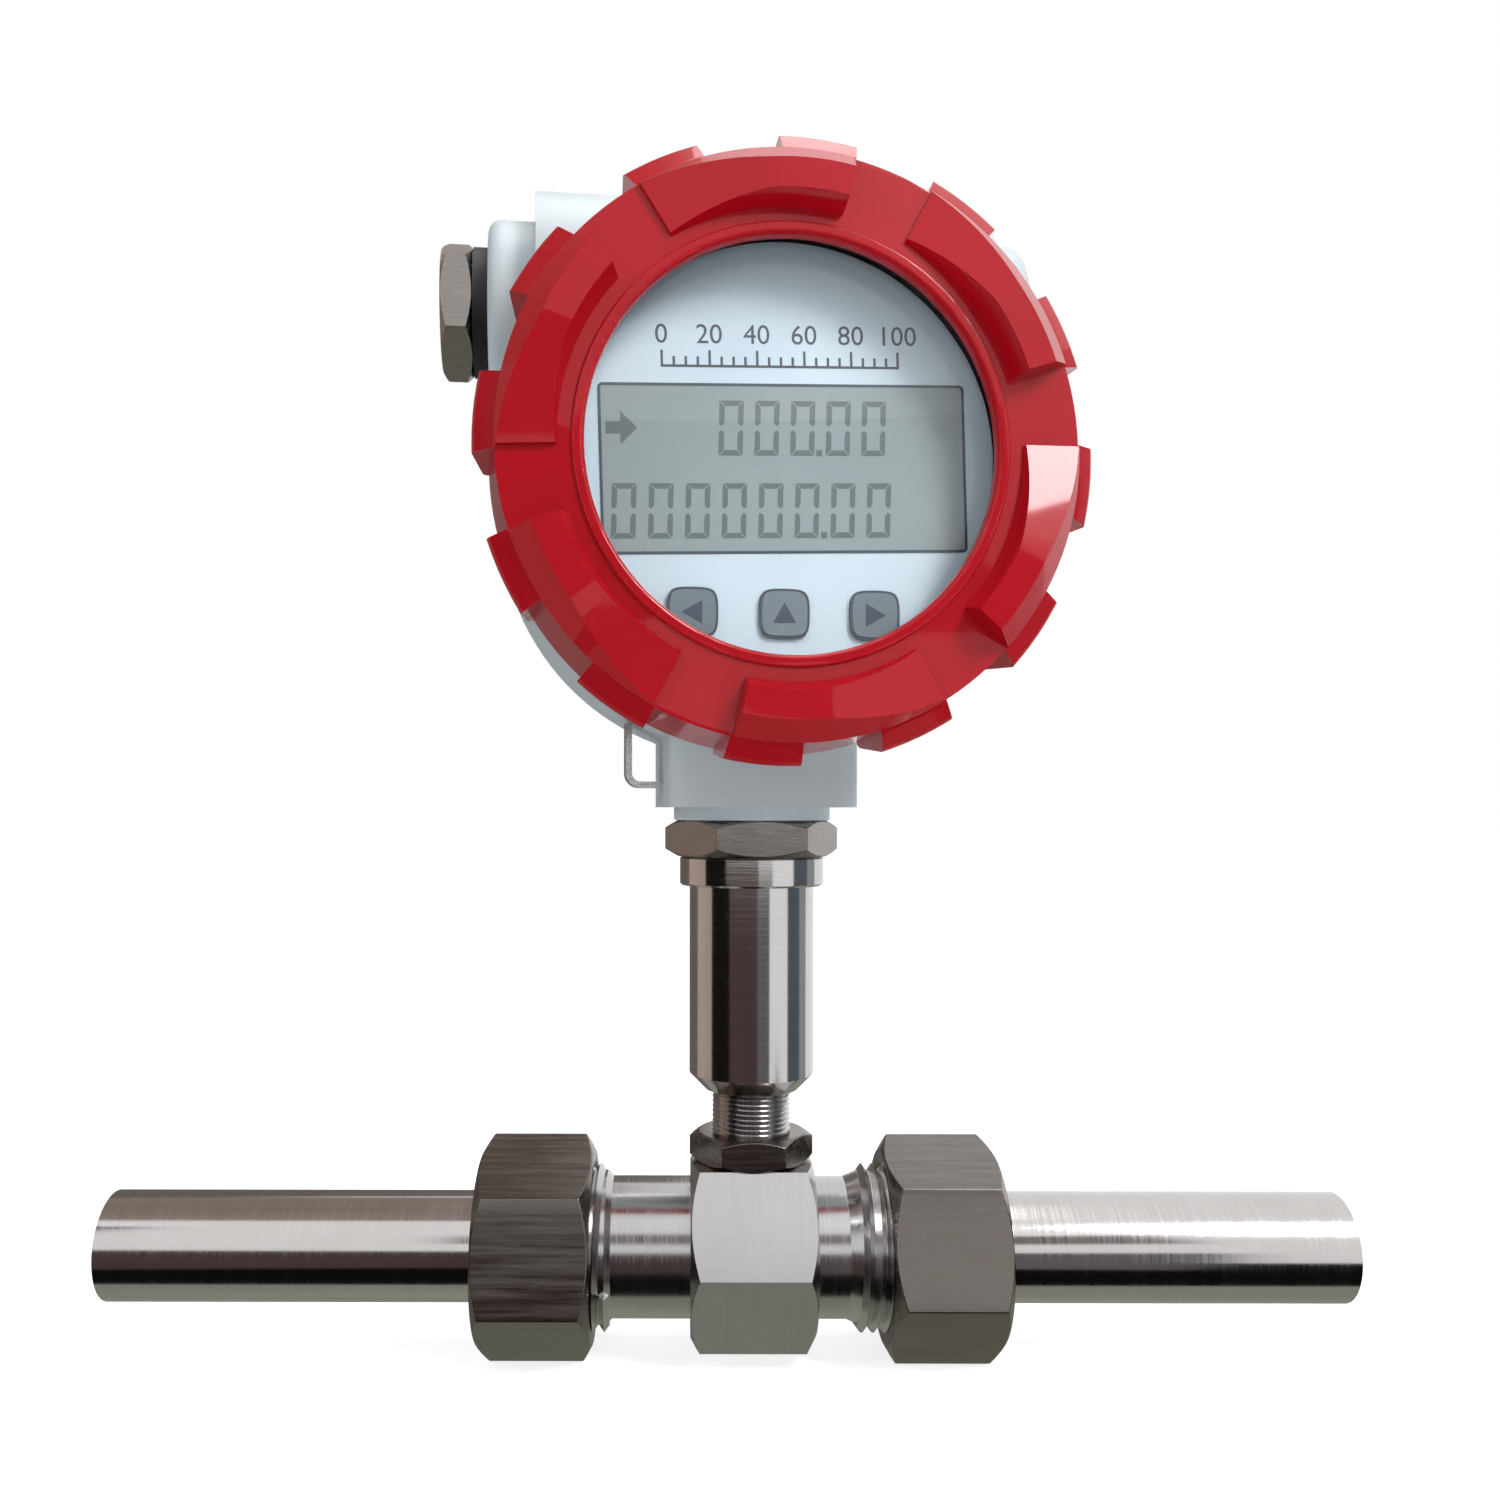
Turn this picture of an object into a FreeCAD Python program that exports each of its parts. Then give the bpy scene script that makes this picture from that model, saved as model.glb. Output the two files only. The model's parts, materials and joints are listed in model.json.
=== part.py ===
"""Turbine flow meter with union ends and a screw-lidded display head.

Frame: origin where the pipe axis meets the stem axis, +X along the flow,
+Z up the stem, -Y towards the reader of the display. Millimetres.
"""
import FreeCAD, Part
import math
import os
import re

import Sketcher

SIZES = [
    # meter body
    ("bore_radius", 7.5, "flow bore at the rotor"),
    ("guide_bore_radius", 9.0, "wider bore that takes the flow guides"),
    ("inlet_end", 42.7, "stem axis to the inlet face"),
    ("outlet_end", 37.3, "stem axis to the outlet face"),
    ("block_flats", 36.0, "hexagonal block across flats"),
    ("block_half", 12.5, "half length of the hexagonal block"),
    ("neck_radius", 14.0, "turned neck beside the block"),
    ("pipe_thread_root", 15.15, "root radius of the one-inch pipe thread"),
    ("inlet_neck", 15.8, "length of the inlet neck"),
    ("inlet_shoulder", 1.2, "length of the inlet lead-in to the thread"),
    ("outlet_neck", 6.5, "length of the outlet neck"),
    ("outlet_shoulder", 2.8, "length of the outlet lead-in to the thread"),
    ("thread_gap", 0.1, "radial clearance between mating thread roots"),
    # flow guides, rotor and bearings
    ("guide_gap", 0.5, "rotor hub to guide hub"),
    ("guide_hub_radius", 3.2, "hub of a flow guide"),
    ("guide_vane_start", 9.4, "stem axis to the inner end of the vanes"),
    ("guide_vane_length", 19.0, "length of the guide vanes"),
    ("guide_nose", 6.0, "length of the guide's pointed nose"),
    ("guide_vane_thick", 1.0, "thickness of a guide vane"),
    ("guide_step", 9.0, "stem axis to the step of the wider bore"),
    ("clip_thick", 1.0, "thickness of a retaining ring"),
    ("clip_depth", 0.6, "depth of the retaining ring's groove"),
    ("clip_width", 1.2, "radial width of a retaining ring inside the bore"),
    ("fit_gap", 0.05, "clearance of a close fit"),
    ("rotor_half", 4.5, "half length of the rotor hub"),
    ("rotor_hub_radius", 3.0, "rotor hub"),
    ("rotor_tip_gap", 0.3, "blade tip to bore"),
    ("blade_half", 3.8, "half the axial length of a blade"),
    ("blade_thick", 1.2, "axial thickness of a blade"),
    ("blade_lead", 46.0, "axial advance of a blade over one full turn"),
    ("shaft_radius", 0.8, "rotor shaft"),
    ("bearing_wall", 0.9, "wall of a bearing sleeve"),
    ("bearing_length", 3.0, "length of a bearing sleeve"),
    # union ends
    ("gasket_thick", 2.0, "union gasket"),
    ("flange_thick", 4.5, "flange at the inner end of a tail pipe"),
    ("flange_radius", 14.75, "radius of that flange"),
    ("pipe_radius", 11.0, "tail pipe outside"),
    ("pipe_bore", 8.2, "tail pipe inside"),
    ("pipe_hub_radius", 11.3, "thicker part of a tail pipe inside its nut"),
    ("inlet_reach", 131.0, "stem axis to the end of the inlet pipe"),
    ("outlet_reach", 120.5, "stem axis to the end of the outlet pipe"),
    ("union_flats", 39.0, "union nut across flats"),
    ("union_length", 23.0, "union nut length"),
    ("union_wall", 6.0, "end wall of a union nut"),
    ("nut_hole_gap", 0.3, "union nut to the pipe through it"),
    ("inlet_nut_turn", -10.7, "turn of the inlet nut from corner-up, degrees"),
    ("outlet_nut_turn", -16.3, "turn of the outlet nut from corner-up, degrees"),
    # stem
    ("sensor_floor", 9.2, "pipe axis to the bottom of the pick-up sleeve"),
    ("sensor_wall", 0.9, "wall of the pick-up sleeve"),
    ("sensor_thread_root", 7.36, "root radius of the sixteen millimetre thread"),
    ("sensor_top", 42.0, "top of the pick-up sleeve"),
    ("lock_flats", 22.0, "stem lock nut across flats"),
    ("lock_thick", 6.0, "stem lock nut thickness"),
    ("cone_start", 32.8, "start of the stem's conical foot"),
    ("cone_end", 36.1, "end of the conical foot"),
    ("tube_radius", 12.75, "stem tube outside"),
    ("tube_wall", 1.75, "stem tube wall"),
    ("tube_top", 74.5, "top of the plain tube, where its collar starts"),
    ("collar_radius", 14.75, "collar of the stem tube"),
    ("collar_high", 5.9, "height of that collar"),
    ("spigot_root", 11.08, "root radius of the stem's upper thread"),
    ("spigot_height", 18.0, "length of the upper thread"),
    ("wire_bore", 7.0, "wire passage through the upper thread"),
    ("cap_flats", 31.0, "head lock nut across flats"),
    ("cap_thick", 7.4, "head lock nut thickness"),
    ("cap_turn", 4.6, "turn of the head lock nut from flat-to-front, degrees"),
    # head housing
    ("head_turn", 6.7, "turn of the head about the stem, degrees"),
    ("shell_wall", 6.15, "root of the cover's thread to the outside of the round housing"),
    ("shell_back", 25.0, "stem axis back to the rear face"),
    ("seat_front", 24.0, "stem axis forward to the seat of the cover"),
    ("chamber_step", 1.85, "root of the cover's thread in to the chamber's wall"),
    ("back_wall", 4.5, "rear wall of the housing"),
    ("shell_round", 6.0, "rounding of the rear edge"),
    ("cover_wall", 5.45, "edge of the glass out to the root of the cover's thread"),
    ("cover_thread_length", 15.0, "cover spigot behind its seat"),
    ("barrel_rise", 36.5, "head axis up to the cable barrel"),
    ("barrel_radius", 23.0, "cable barrel across the back of the head"),
    ("barrel_half", 44.5, "half length of that barrel"),
    ("boss_radius", 17.5, "cable entry boss"),
    ("boss_half", 53.6, "stem axis to the face of a boss"),
    ("boss_round", 2.5, "rounding of a boss's rim"),
    ("entry_root", 9.19, "root radius of the twenty millimetre entry thread"),
    ("entry_length", 16.0, "length of the entry thread"),
    ("entry_relief", 0.9, "extra radius behind the entry thread"),
    ("neck_block_half", 18.6, "half width of the square neck"),
    ("neck_block_round", 5.0, "corner rounding of the square neck"),
    ("neck_reach", 62.6, "bottom of the square neck up to the axis of the head"),
    ("neck_collar_radius", 16.0, "round collar under the neck"),
    ("neck_collar_high", 2.6, "height of that collar"),
    ("eye_out", 7.6, "side of the square neck out to the outside of the strip eye"),
    ("eye_drop", 3.9, "strip eye above the bottom of the square neck"),
    ("eye_strip", 1.3, "thickness of the eye's strip"),
    ("eye_width", 5.0, "width of the eye's strip"),
    ("eye_bend", 3.0, "outside bend radius of the eye"),
    # conduit plug
    ("plug_flats", 24.0, "conduit plug across flats"),
    ("plug_head", 6.2, "conduit plug head thickness"),
    ("plug_engage", 12.0, "thread length of the conduit plug"),
    ("plug_socket", 4.0, "depth of the hollow in the plug's shank"),
    ("seal_radius", 12.4, "conduit seal outside"),
    ("seal_thick", 3.0, "conduit seal thickness"),
    # front cover
    ("window_radius", 36.3, "window opening"),
    ("lip_wide", 2.3, "rounded lip round the window"),
    ("lip_front", 44.4, "stem axis forward to the front of the lip"),
    ("base_front", 43.8, "stem axis forward to the face between the lugs"),
    ("lug_fall", 3.9, "edge of a lug's land out to the rim of the front face"),
    ("rim_front_drop", 0.9, "fall of the front face from the lip to the rim"),
    ("tooth_out", 3.9, "rim of the front face out to the shoulder of a grip tooth"),
    ("tooth_shoulder", 40.0, "stem axis forward to that shoulder"),
    ("tooth_taper", 1.5, "shoulder of a grip tooth in to its foot at the seat"),
    ("notch_depth", 1.0, "depth of the notches between teeth at the seat"),
    ("notch_angle", 15.5, "width of a notch, degrees"),
    ("lug_front", 48.0, "stem axis forward to the lands of the lugs"),
    ("lug_set", 2.3, "outside of the lip out to the foot of a lug"),
    ("lug_slope", 1.7, "foot of a lug out to the edge of its land"),
    ("lug_land", 5.1, "width of a lug's land"),
    ("lug_span", 43.4, "angle that a lug covers, degrees"),
    ("lug_trail", 31.6, "anticlockwise end of the first lug from the top, degrees"),
    ("lug_fold", 6.4, "fold of the lug's ramp, degrees anticlockwise from the top"),
    ("glass_lap", 4.1, "glass held behind the edge of the window opening"),
    ("glass_thick", 5.0, "window glass thickness"),
    ("gasket_set", 0.7, "edge of the window opening out to the gasket"),
    ("window_gasket_thick", 1.0, "window gasket thickness"),
    ("lip_thick", 2.4, "metal in front of the window gasket"),
    ("clamp_wide", 1.5, "width of the ring that clamps the glass"),
    ("clamp_length", 4.5, "length of the clamping ring"),
    ("cover_seal_radius", 1.2, "section radius of the cover's sealing ring"),
    ("cover_seal_set", 1.8, "sealing ring's centre behind the seat"),
    ("seal_bore_step", 0.65, "extra radius of the bore at the sealing ring"),
    # display inside the head
    ("panel_lap", 2.1, "display panel beyond the edge of the window opening"),
    ("panel_front", 34.0, "stem axis forward to the panel's face"),
    ("panel_thick", 1.5, "display panel thickness"),
    ("screen_width", 66.0, "display window width"),
    ("screen_high", 30.0, "display window height"),
    ("screen_side", 1.2, "display window's centre to the right of the head axis"),
    ("screen_drop", 0.8, "display window's centre below the head axis"),
    ("screen_gap", 0.1, "clearance round the display glass"),
    ("screen_set", 0.2, "display glass behind the panel's face"),
    ("board_front", 29.0, "stem axis forward to the display board"),
    ("board_thick", 1.6, "circuit board thickness"),
    ("board_set", 2.4, "edge of the display panel in to the edge of its board"),
    ("key_size", 9.3, "key across"),
    ("key_high", 9.0, "key height"),
    ("key_round", 5.5, "radius that rounds off a key's corners"),
    ("key_pitch", 16.5, "distance between keys"),
    ("key_side", 1.6, "middle key to the right of the head axis"),
    ("key_drop", 26.3, "keys below the head axis"),
    ("key_proud", 0.9, "key above the panel's face"),
    ("key_gap", 0.35, "clearance round a key"),
    ("key_ledge", 0.6, "back of the panel forward to the back of a key"),
    ("key_pin_radius", 1.7, "plunger under a key"),
    ("switch_high", 2.0, "height of a key switch"),
    ("switch_size", 6.0, "key switch across"),
    ("carrier_wall", 1.9, "wall of the display carrier"),
    ("carrier_back", 14.0, "stem axis forward to the carrier's back"),
    ("carrier_floor", 2.0, "carrier floor thickness"),
    ("carrier_ledge", 1.6, "ledge that carries the display board"),
    # terminal board and battery
    ("lower_board_back", 12.0, "stem axis back to the terminal board"),
    ("lower_board_set", 6.0, "wall of the chamber in to the terminal board"),
    ("post_radius", 2.5, "board pillar"),
    ("post_set", 3.5, "edge of the terminal board in to the axis of a pillar"),
    ("cell_radius", 7.25, "battery cell"),
    ("cell_length", 50.0, "battery cell length"),
    ("cell_drop", 17.0, "battery cell below the head axis"),
    ("holder_wall", 1.5, "battery holder wall"),
    ("holder_gap", 0.2, "battery cell to its holder"),
    ("terminal_rise", 12.0, "terminal block above the head axis"),
    ("terminal_wide", 30.0, "terminal block width"),
    ("terminal_deep", 10.0, "terminal block depth on its board"),
    ("terminal_high", 12.0, "terminal block height off its board"),
]

# Lengths that follow from the sizes above, so that mating pieces stay together.
FOLLOWING = {
    "collar_top": "(tube_top + collar_high)",
    "head_height": "(collar_top + cap_thick + neck_collar_high + neck_reach)",
    "eye_reach": "(neck_block_half + eye_out)",
    "glass_radius": "(window_radius + glass_lap)",
    "gasket_inner": "(window_radius + gasket_set)",
    "clamp_inner": "(glass_radius - clamp_wide)",
    "cover_thread_root": "(glass_radius + cover_wall)",
    "shell_radius": "(cover_thread_root + shell_wall)",
    "chamber_radius": "(cover_thread_root - chamber_step)",
    "lip_radius": "(window_radius + lip_wide)",
    "lug_foot_inner": "(lip_radius + lug_set)",
    "lug_land_inner": "(lug_foot_inner + lug_slope)",
    "lug_land_outer": "(lug_land_inner + lug_land)",
    "rim_front_radius": "(lug_land_outer + lug_fall)",
    "tooth_shoulder_radius": "(rim_front_radius + tooth_out)",
    "tooth_radius": "(tooth_shoulder_radius - tooth_taper)",
    "notch_radius": "(tooth_radius - notch_depth)",
    "panel_radius": "(window_radius + panel_lap)",
    "board_radius": "(panel_radius - board_set)",
    "lower_board_radius": "(chamber_radius - lower_board_set)",
    "post_circle": "(lower_board_radius - post_set)",
    "key_back": "(panel_front - panel_thick + key_ledge)",
}

doc = FreeCAD.newDocument("turbine_flow_meter")
sheet = doc.addObject("Spreadsheet::Sheet", "Sizes")
for row, (name, size, meaning) in enumerate(SIZES, start=1):
    sheet.set(f"A{row}", name)
    sheet.set(f"B{row}", str(size))
    sheet.setAlias(f"B{row}", name)
    sheet.set(f"C{row}", meaning)
doc.recompute()

NAMES = sorted((name for name, size, meaning in SIZES), key=len, reverse=True)
NAME_PATTERN = re.compile(r"\b(" + "|".join(NAMES) + r")\b")
FOLLOWING_PATTERN = re.compile(r"\b(" + "|".join(FOLLOWING) + r")\b")
nodes = []


def bound(text):
    """An expression that reads the sheet, from one written with bare names."""
    while FOLLOWING_PATTERN.search(text):
        text = FOLLOWING_PATTERN.sub(lambda found: FOLLOWING[found.group(1)], text)
    return NAME_PATTERN.sub(r"Sizes.\1", text)


def value(text):
    return float(sheet.evalExpression(bound(text)))


# ------------------------------------------------------------------ helpers

def new_body(label, placement=None):
    piece = doc.addObject("PartDesign::Body", label)
    piece.Label = label
    if placement is not None:
        piece.Placement = placement
    nodes.append(piece)
    return piece


def new_sketch(piece, role, lift=None):
    """A sketch on one of the body's own planes, lifted along its normal."""
    drawing = piece.newObject("Sketcher::SketchObject", piece.Label + "_sketch")
    plane = next(item for item in piece.Origin.OriginFeatures if item.Role == role)
    drawing.AttachmentSupport = [(plane, "")]
    drawing.MapMode = "FlatFace"
    if lift is not None:
        drawing.setExpression(".AttachmentOffset.Base.z", bound(lift))
    return drawing


def tie(drawing, geometry, point, across, up):
    """Hold one point of a sketch at a place given by two expressions."""
    for kind, text, axis in (("DistanceX", across, -2), ("DistanceY", up, -1)):
        if text == "0":
            drawing.addConstraint(Sketcher.Constraint("PointOnObject", geometry, point, axis))
        else:
            rule = Sketcher.Constraint(kind, -1, 1, geometry, point, value(text))
            number = drawing.addConstraint(rule)
            drawing.setExpression(f"Constraints[{number}]", bound(text))


def outline(drawing, corners):
    """A closed outline of straight lines through corners given as expressions."""
    spots = [FreeCAD.Vector(value(across), value(up), 0) for across, up in corners]
    first = drawing.GeometryCount
    count = len(spots)
    lines = [Part.LineSegment(spots[i], spots[(i + 1) % count]) for i in range(count)]
    drawing.addGeometry(lines, False)
    joins = []
    for i in range(count):
        joins.append(Sketcher.Constraint("Coincident", first + i, 2, first + (i + 1) % count, 1))
    drawing.addConstraint(joins)
    for i, (across, up) in enumerate(corners):
        tie(drawing, first + i, 1, across, up)


def circle(drawing, radius, across="0", up="0"):
    centre = FreeCAD.Vector(value(across), value(up), 0)
    ring = Part.Circle(centre, FreeCAD.Vector(0, 0, 1), value(radius))
    index = drawing.addGeometry(ring, False)
    number = drawing.addConstraint(Sketcher.Constraint("Radius", index, value(radius)))
    drawing.setExpression(f"Constraints[{number}]", bound(radius))
    tie(drawing, index, 3, across, up)


def box_outline(drawing, left, bottom, right, top):
    outline(drawing, [(left, bottom), (right, bottom), (right, top), (left, top)])


def rounded_outline(drawing, left, bottom, right, top, radius):
    """A rectangle with rounded corners, given by expressions."""
    size = value(radius)
    corners = [
        (f"{right} - {radius}", f"{bottom} + {radius}", -90),
        (f"{right} - {radius}", f"{top} - {radius}", 0),
        (f"{left} + {radius}", f"{top} - {radius}", 90),
        (f"{left} + {radius}", f"{bottom} + {radius}", 180),
    ]
    first = drawing.GeometryCount
    arcs = []
    for across, up, start in corners:
        centre = FreeCAD.Vector(value(across), value(up), 0)
        round_corner = Part.Circle(centre, FreeCAD.Vector(0, 0, 1), size)
        arcs.append(Part.ArcOfCircle(round_corner, math.radians(start), math.radians(start + 90)))
    sides = []
    for i in range(4):
        begin = arcs[i].EndPoint
        finish = arcs[(i + 1) % 4].StartPoint
        sides.append(Part.LineSegment(begin, finish))
    drawing.addGeometry(arcs + sides, False)
    for i, (across, up, start) in enumerate(corners):
        tie(drawing, first + i, 3, across, up)
        number = drawing.addConstraint(Sketcher.Constraint("Radius", first + i, size))
        drawing.setExpression(f"Constraints[{number}]", bound(radius))
    for i in range(4):
        side = first + 4 + i
        following = first + (i + 1) % 4
        drawing.addConstraint(Sketcher.Constraint("Tangent", first + i, 2, side, 1))
        drawing.addConstraint(Sketcher.Constraint("Tangent", side, 2, following, 1))


def hexagon(drawing, flats):
    """A hexagon whose flats are level with the sketch's first axis."""
    wide = f"{flats} / sqrt(3)"
    tall = f"{flats} / 2"
    outline(drawing, [
        (wide, "0"),
        (f"{wide} / 2", tall),
        (f"-{wide} / 2", tall),
        (f"-{wide}", "0"),
        (f"-{wide} / 2", f"-{tall}"),
        (f"{wide} / 2", f"-{tall}"),
    ])


def feature(piece, kind, drawing):
    step = piece.newObject("PartDesign::" + kind, piece.Label + "_" + kind.lower())
    step.Profile = drawing
    return step


def turn(piece, corners, axis, kind="Revolution", angle=None, role="XZ_Plane"):
    """Revolve, or groove, an outline about an axis of its own sketch."""
    drawing = new_sketch(piece, role)
    for loop in corners:
        outline(drawing, loop)
    step = feature(piece, kind, drawing)
    step.ReferenceAxis = (drawing, [axis])
    step.Angle = 360
    if angle is not None:
        step.setExpression("Angle", bound(angle))
        step.Midplane = True
    return step


def pad(piece, drawing, length, both_ways=False, backwards=False, kind="Pad"):
    step = feature(piece, kind, drawing)
    step.setExpression("Length", bound(length))
    step.Midplane = both_ways
    step.Reversed = backwards
    return step


def cut_through(piece, drawing):
    step = feature(piece, "Pocket", drawing)
    step.Type = 1
    step.Midplane = True
    return step


def ring_of(piece, steps, role, count):
    pattern = piece.newObject("PartDesign::PolarPattern", piece.Label + "_pattern")
    pattern.Originals = steps
    axis = next(item for item in piece.Origin.OriginFeatures if item.Role == role)
    pattern.Axis = (axis, [""])
    pattern.Angle = 360
    pattern.Occurrences = count
    piece.Tip = pattern
    return pattern


def round_edges(piece, radius, chosen, kind="Fillet"):
    """Round the edges of the body's tip that a test picks out."""
    doc.recompute()
    tip = piece.Tip
    names = []
    for i, edge in enumerate(tip.Shape.Edges, start=1):
        if chosen(edge):
            names.append(f"Edge{i}")
    step = piece.newObject("PartDesign::" + kind, piece.Label + "_rounding")
    step.Base = (tip, names)
    sized = "Radius" if kind == "Fillet" else "Size"
    step.setExpression(sized, bound(radius))
    return step


def bevel_hexagon(piece, flats, start, end, axis="V_Axis"):
    """Turn off the six corners at both ends of a hexagonal piece at 30 degrees."""
    reach = f"({flats} / sqrt(3) + 1)"
    face = f"({flats} / 2 * 0.975)"
    rise = f"(({reach} - {face}) * tan(30 deg))"
    loops = []
    for edge, side in ((end, "-"), (start, "+")):
        loop = [(face, edge), (reach, edge), (reach, f"{edge} {side} {rise}")]
        if axis == "H_Axis":
            loop = [(up, across) for across, up in loop]
        loops.append(loop)
    return turn(piece, loops, axis, kind="Groove")


def primitive(kind, label, sizes, placement=None):
    item = doc.addObject("Part::" + kind, label)
    for key, text in sizes.items():
        item.setExpression(key, bound(text))
    if placement is not None:
        item.Placement = placement
    return item


def spot(across="0", back="0", up="0"):
    """A vector from three expressions."""
    return FreeCAD.Vector(value(across), value(back), value(up))


# frame of the display head: its x to the right, its y up, its z towards the reader
swivel = FreeCAD.Placement(
    FreeCAD.Vector(0, 0, 0), FreeCAD.Rotation(FreeCAD.Vector(0, 0, 1), value("head_turn"))
)
lean_forward = FreeCAD.Placement(
    spot(up="head_height"), FreeCAD.Rotation(FreeCAD.Vector(1, 0, 0), 90)
)
face_frame = swivel.multiply(lean_forward)


# ------------------------------------------------------------- meter body

body = new_body("meter_body")
hexagon(new_sketch(body, "YZ_Plane"), "block_flats")
block_sketch = body.Group[-1]
pad(body, block_sketch, "2 * block_half", both_ways=True)
bevel_hexagon(body, "block_flats", "-block_half", "block_half", axis="H_Axis")

inlet_thread = "-(block_half + inlet_neck + inlet_shoulder)"
outlet_thread = "(block_half + outlet_neck + outlet_shoulder)"
lead = "1.2"
turn(body, [[
    ("-inlet_end", "0"),
    ("-inlet_end", f"pipe_thread_root - {lead}"),
    (f"-inlet_end + {lead}", "pipe_thread_root"),
    (inlet_thread, "pipe_thread_root"),
    (f"{inlet_thread} + inlet_shoulder", "neck_radius"),
    ("block_half + outlet_neck", "neck_radius"),
    (outlet_thread, "pipe_thread_root"),
    (f"outlet_end - {lead}", "pipe_thread_root"),
    ("outlet_end", f"pipe_thread_root - {lead}"),
    ("outlet_end", "0"),
]], "H_Axis")

clip_radius = "(guide_bore_radius + clip_depth)"
clip_start = "(guide_vane_start + guide_vane_length + fit_gap)"
clip_stop = f"({clip_start} + clip_thick + 2 * fit_gap)"
turn(body, [[
    ("-inlet_end - 1", "0"),
    ("-inlet_end - 1", "guide_bore_radius"),
    (f"-{clip_stop}", "guide_bore_radius"),
    (f"-{clip_stop}", clip_radius),
    (f"-{clip_start}", clip_radius),
    (f"-{clip_start}", "guide_bore_radius"),
    ("-guide_step", "guide_bore_radius"),
    ("-guide_step", "bore_radius"),
    ("guide_step", "bore_radius"),
    ("guide_step", "guide_bore_radius"),
    (clip_start, "guide_bore_radius"),
    (clip_start, clip_radius),
    (clip_stop, clip_radius),
    (clip_stop, "guide_bore_radius"),
    ("outlet_end + 1", "guide_bore_radius"),
    ("outlet_end + 1", "0"),
]], "H_Axis", kind="Groove")

sensor_hole = "(sensor_thread_root + thread_gap)"
turn(body, [[
    ("0", "sensor_floor - 0.2"),
    (sensor_hole, "sensor_floor - 0.2"),
    (sensor_hole, "block_flats / 2 - 1"),
    (f"{sensor_hole} + 1", "block_flats / 2"),
    (f"{sensor_hole} + 1", "block_flats / 2 + 1"),
    ("0", "block_flats / 2 + 1"),
]], "V_Axis", kind="Groove")


# ---------------------------------------------- flow guides, rotor, bearings

bearing_radius = "(shaft_radius + fit_gap + bearing_wall)"
guide_face = "(rotor_half + guide_gap)"
vane_end = "(guide_vane_start + guide_vane_length)"
about_stem = FreeCAD.Placement(
    FreeCAD.Vector(0, 0, 0), FreeCAD.Rotation(FreeCAD.Vector(0, 0, 1), 180)
)
for side, placement in (("inlet", about_stem), ("outlet", FreeCAD.Placement())):
    guide = new_body(side + "_flow_guide", placement)
    turn(guide, [[
        (guide_face, "0"),
        (guide_face, "guide_hub_radius"),
        (f"{vane_end} - guide_nose", "guide_hub_radius"),
        (f"{vane_end} - guide_nose / 2", "guide_hub_radius * 0.8"),
        (vane_end, "guide_hub_radius * 0.3"),
        (vane_end, "0"),
    ]], "H_Axis")
    vane_sketch = new_sketch(guide, "XZ_Plane")
    box_outline(
        vane_sketch, "guide_vane_start", "guide_hub_radius / 2",
        vane_end, "guide_bore_radius - fit_gap",
    )
    vane = pad(guide, vane_sketch, "guide_vane_thick", both_ways=True)
    ring_of(guide, [vane], "X_Axis", 4)
    turn(guide, [[
        (f"{guide_face} - 1", "0"),
        (f"{guide_face} - 1", f"{bearing_radius} + fit_gap"),
        (f"{guide_face} + bearing_length + 2 * fit_gap", f"{bearing_radius} + fit_gap"),
        (f"{guide_face} + bearing_length + 2 * fit_gap", "0"),
    ]], "H_Axis", kind="Groove")

    bearing = new_body(side + "_bearing", placement)
    turn(bearing, [[
        (f"{guide_face} + fit_gap", "shaft_radius + fit_gap"),
        (f"{guide_face} + fit_gap", bearing_radius),
        (f"{guide_face} + fit_gap + bearing_length", bearing_radius),
        (f"{guide_face} + fit_gap + bearing_length", "shaft_radius + fit_gap"),
    ]], "H_Axis")

    clip = new_body(side + "_retaining_ring", placement)
    turn(clip, [[
        (f"{clip_start} + fit_gap", "guide_bore_radius - clip_width"),
        (f"{clip_start} + fit_gap", f"{clip_radius} - fit_gap"),
        (f"{clip_start} + fit_gap + clip_thick", f"{clip_radius} - fit_gap"),
        (f"{clip_start} + fit_gap + clip_thick", "guide_bore_radius - clip_width"),
    ]], "H_Axis")
    gap_sketch = new_sketch(clip, "XZ_Plane")
    box_outline(
        gap_sketch, clip_start, "-guide_bore_radius - 2",
        f"{clip_stop} + 1", "-guide_bore_radius + clip_width + 2",
    )
    pad(clip, gap_sketch, "4 * clip_width", both_ways=True, kind="Pocket")

rotor = new_body("rotor")
turn(rotor, [[
    ("-rotor_half", "0"),
    ("-rotor_half", "rotor_hub_radius - 0.6"),
    ("-rotor_half + 0.6", "rotor_hub_radius"),
    ("rotor_half - 0.6", "rotor_hub_radius"),
    ("rotor_half", "rotor_hub_radius - 0.6"),
    ("rotor_half", "0"),
]], "H_Axis")
tip_radius = "(bore_radius - rotor_tip_gap)"
blade_sections = []
for level in ("(rotor_hub_radius * 0.8)", f"({tip_radius} + 0.6)"):
    section = new_sketch(rotor, "XY_Plane", lift=level)
    lean = f"(2 * pi * {level} / blade_lead * blade_half)"
    outline(section, [
        ("-blade_half", f"-{lean} - blade_thick / 2"),
        ("blade_half", f"{lean} - blade_thick / 2"),
        ("blade_half", f"{lean} + blade_thick / 2"),
        ("-blade_half", f"-{lean} + blade_thick / 2"),
    ])
    blade_sections.append(section)
blade = feature(rotor, "AdditiveLoft", blade_sections[0])
blade.Sections = blade_sections[1:]
blade.Ruled = True
ring_of(rotor, [blade], "X_Axis", 6)
turn(rotor, [[
    ("-rotor_half", tip_radius),
    ("-rotor_half", "bore_radius * 2"),
    ("rotor_half", "bore_radius * 2"),
    ("rotor_half", tip_radius),
]], "H_Axis", kind="Groove")
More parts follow.
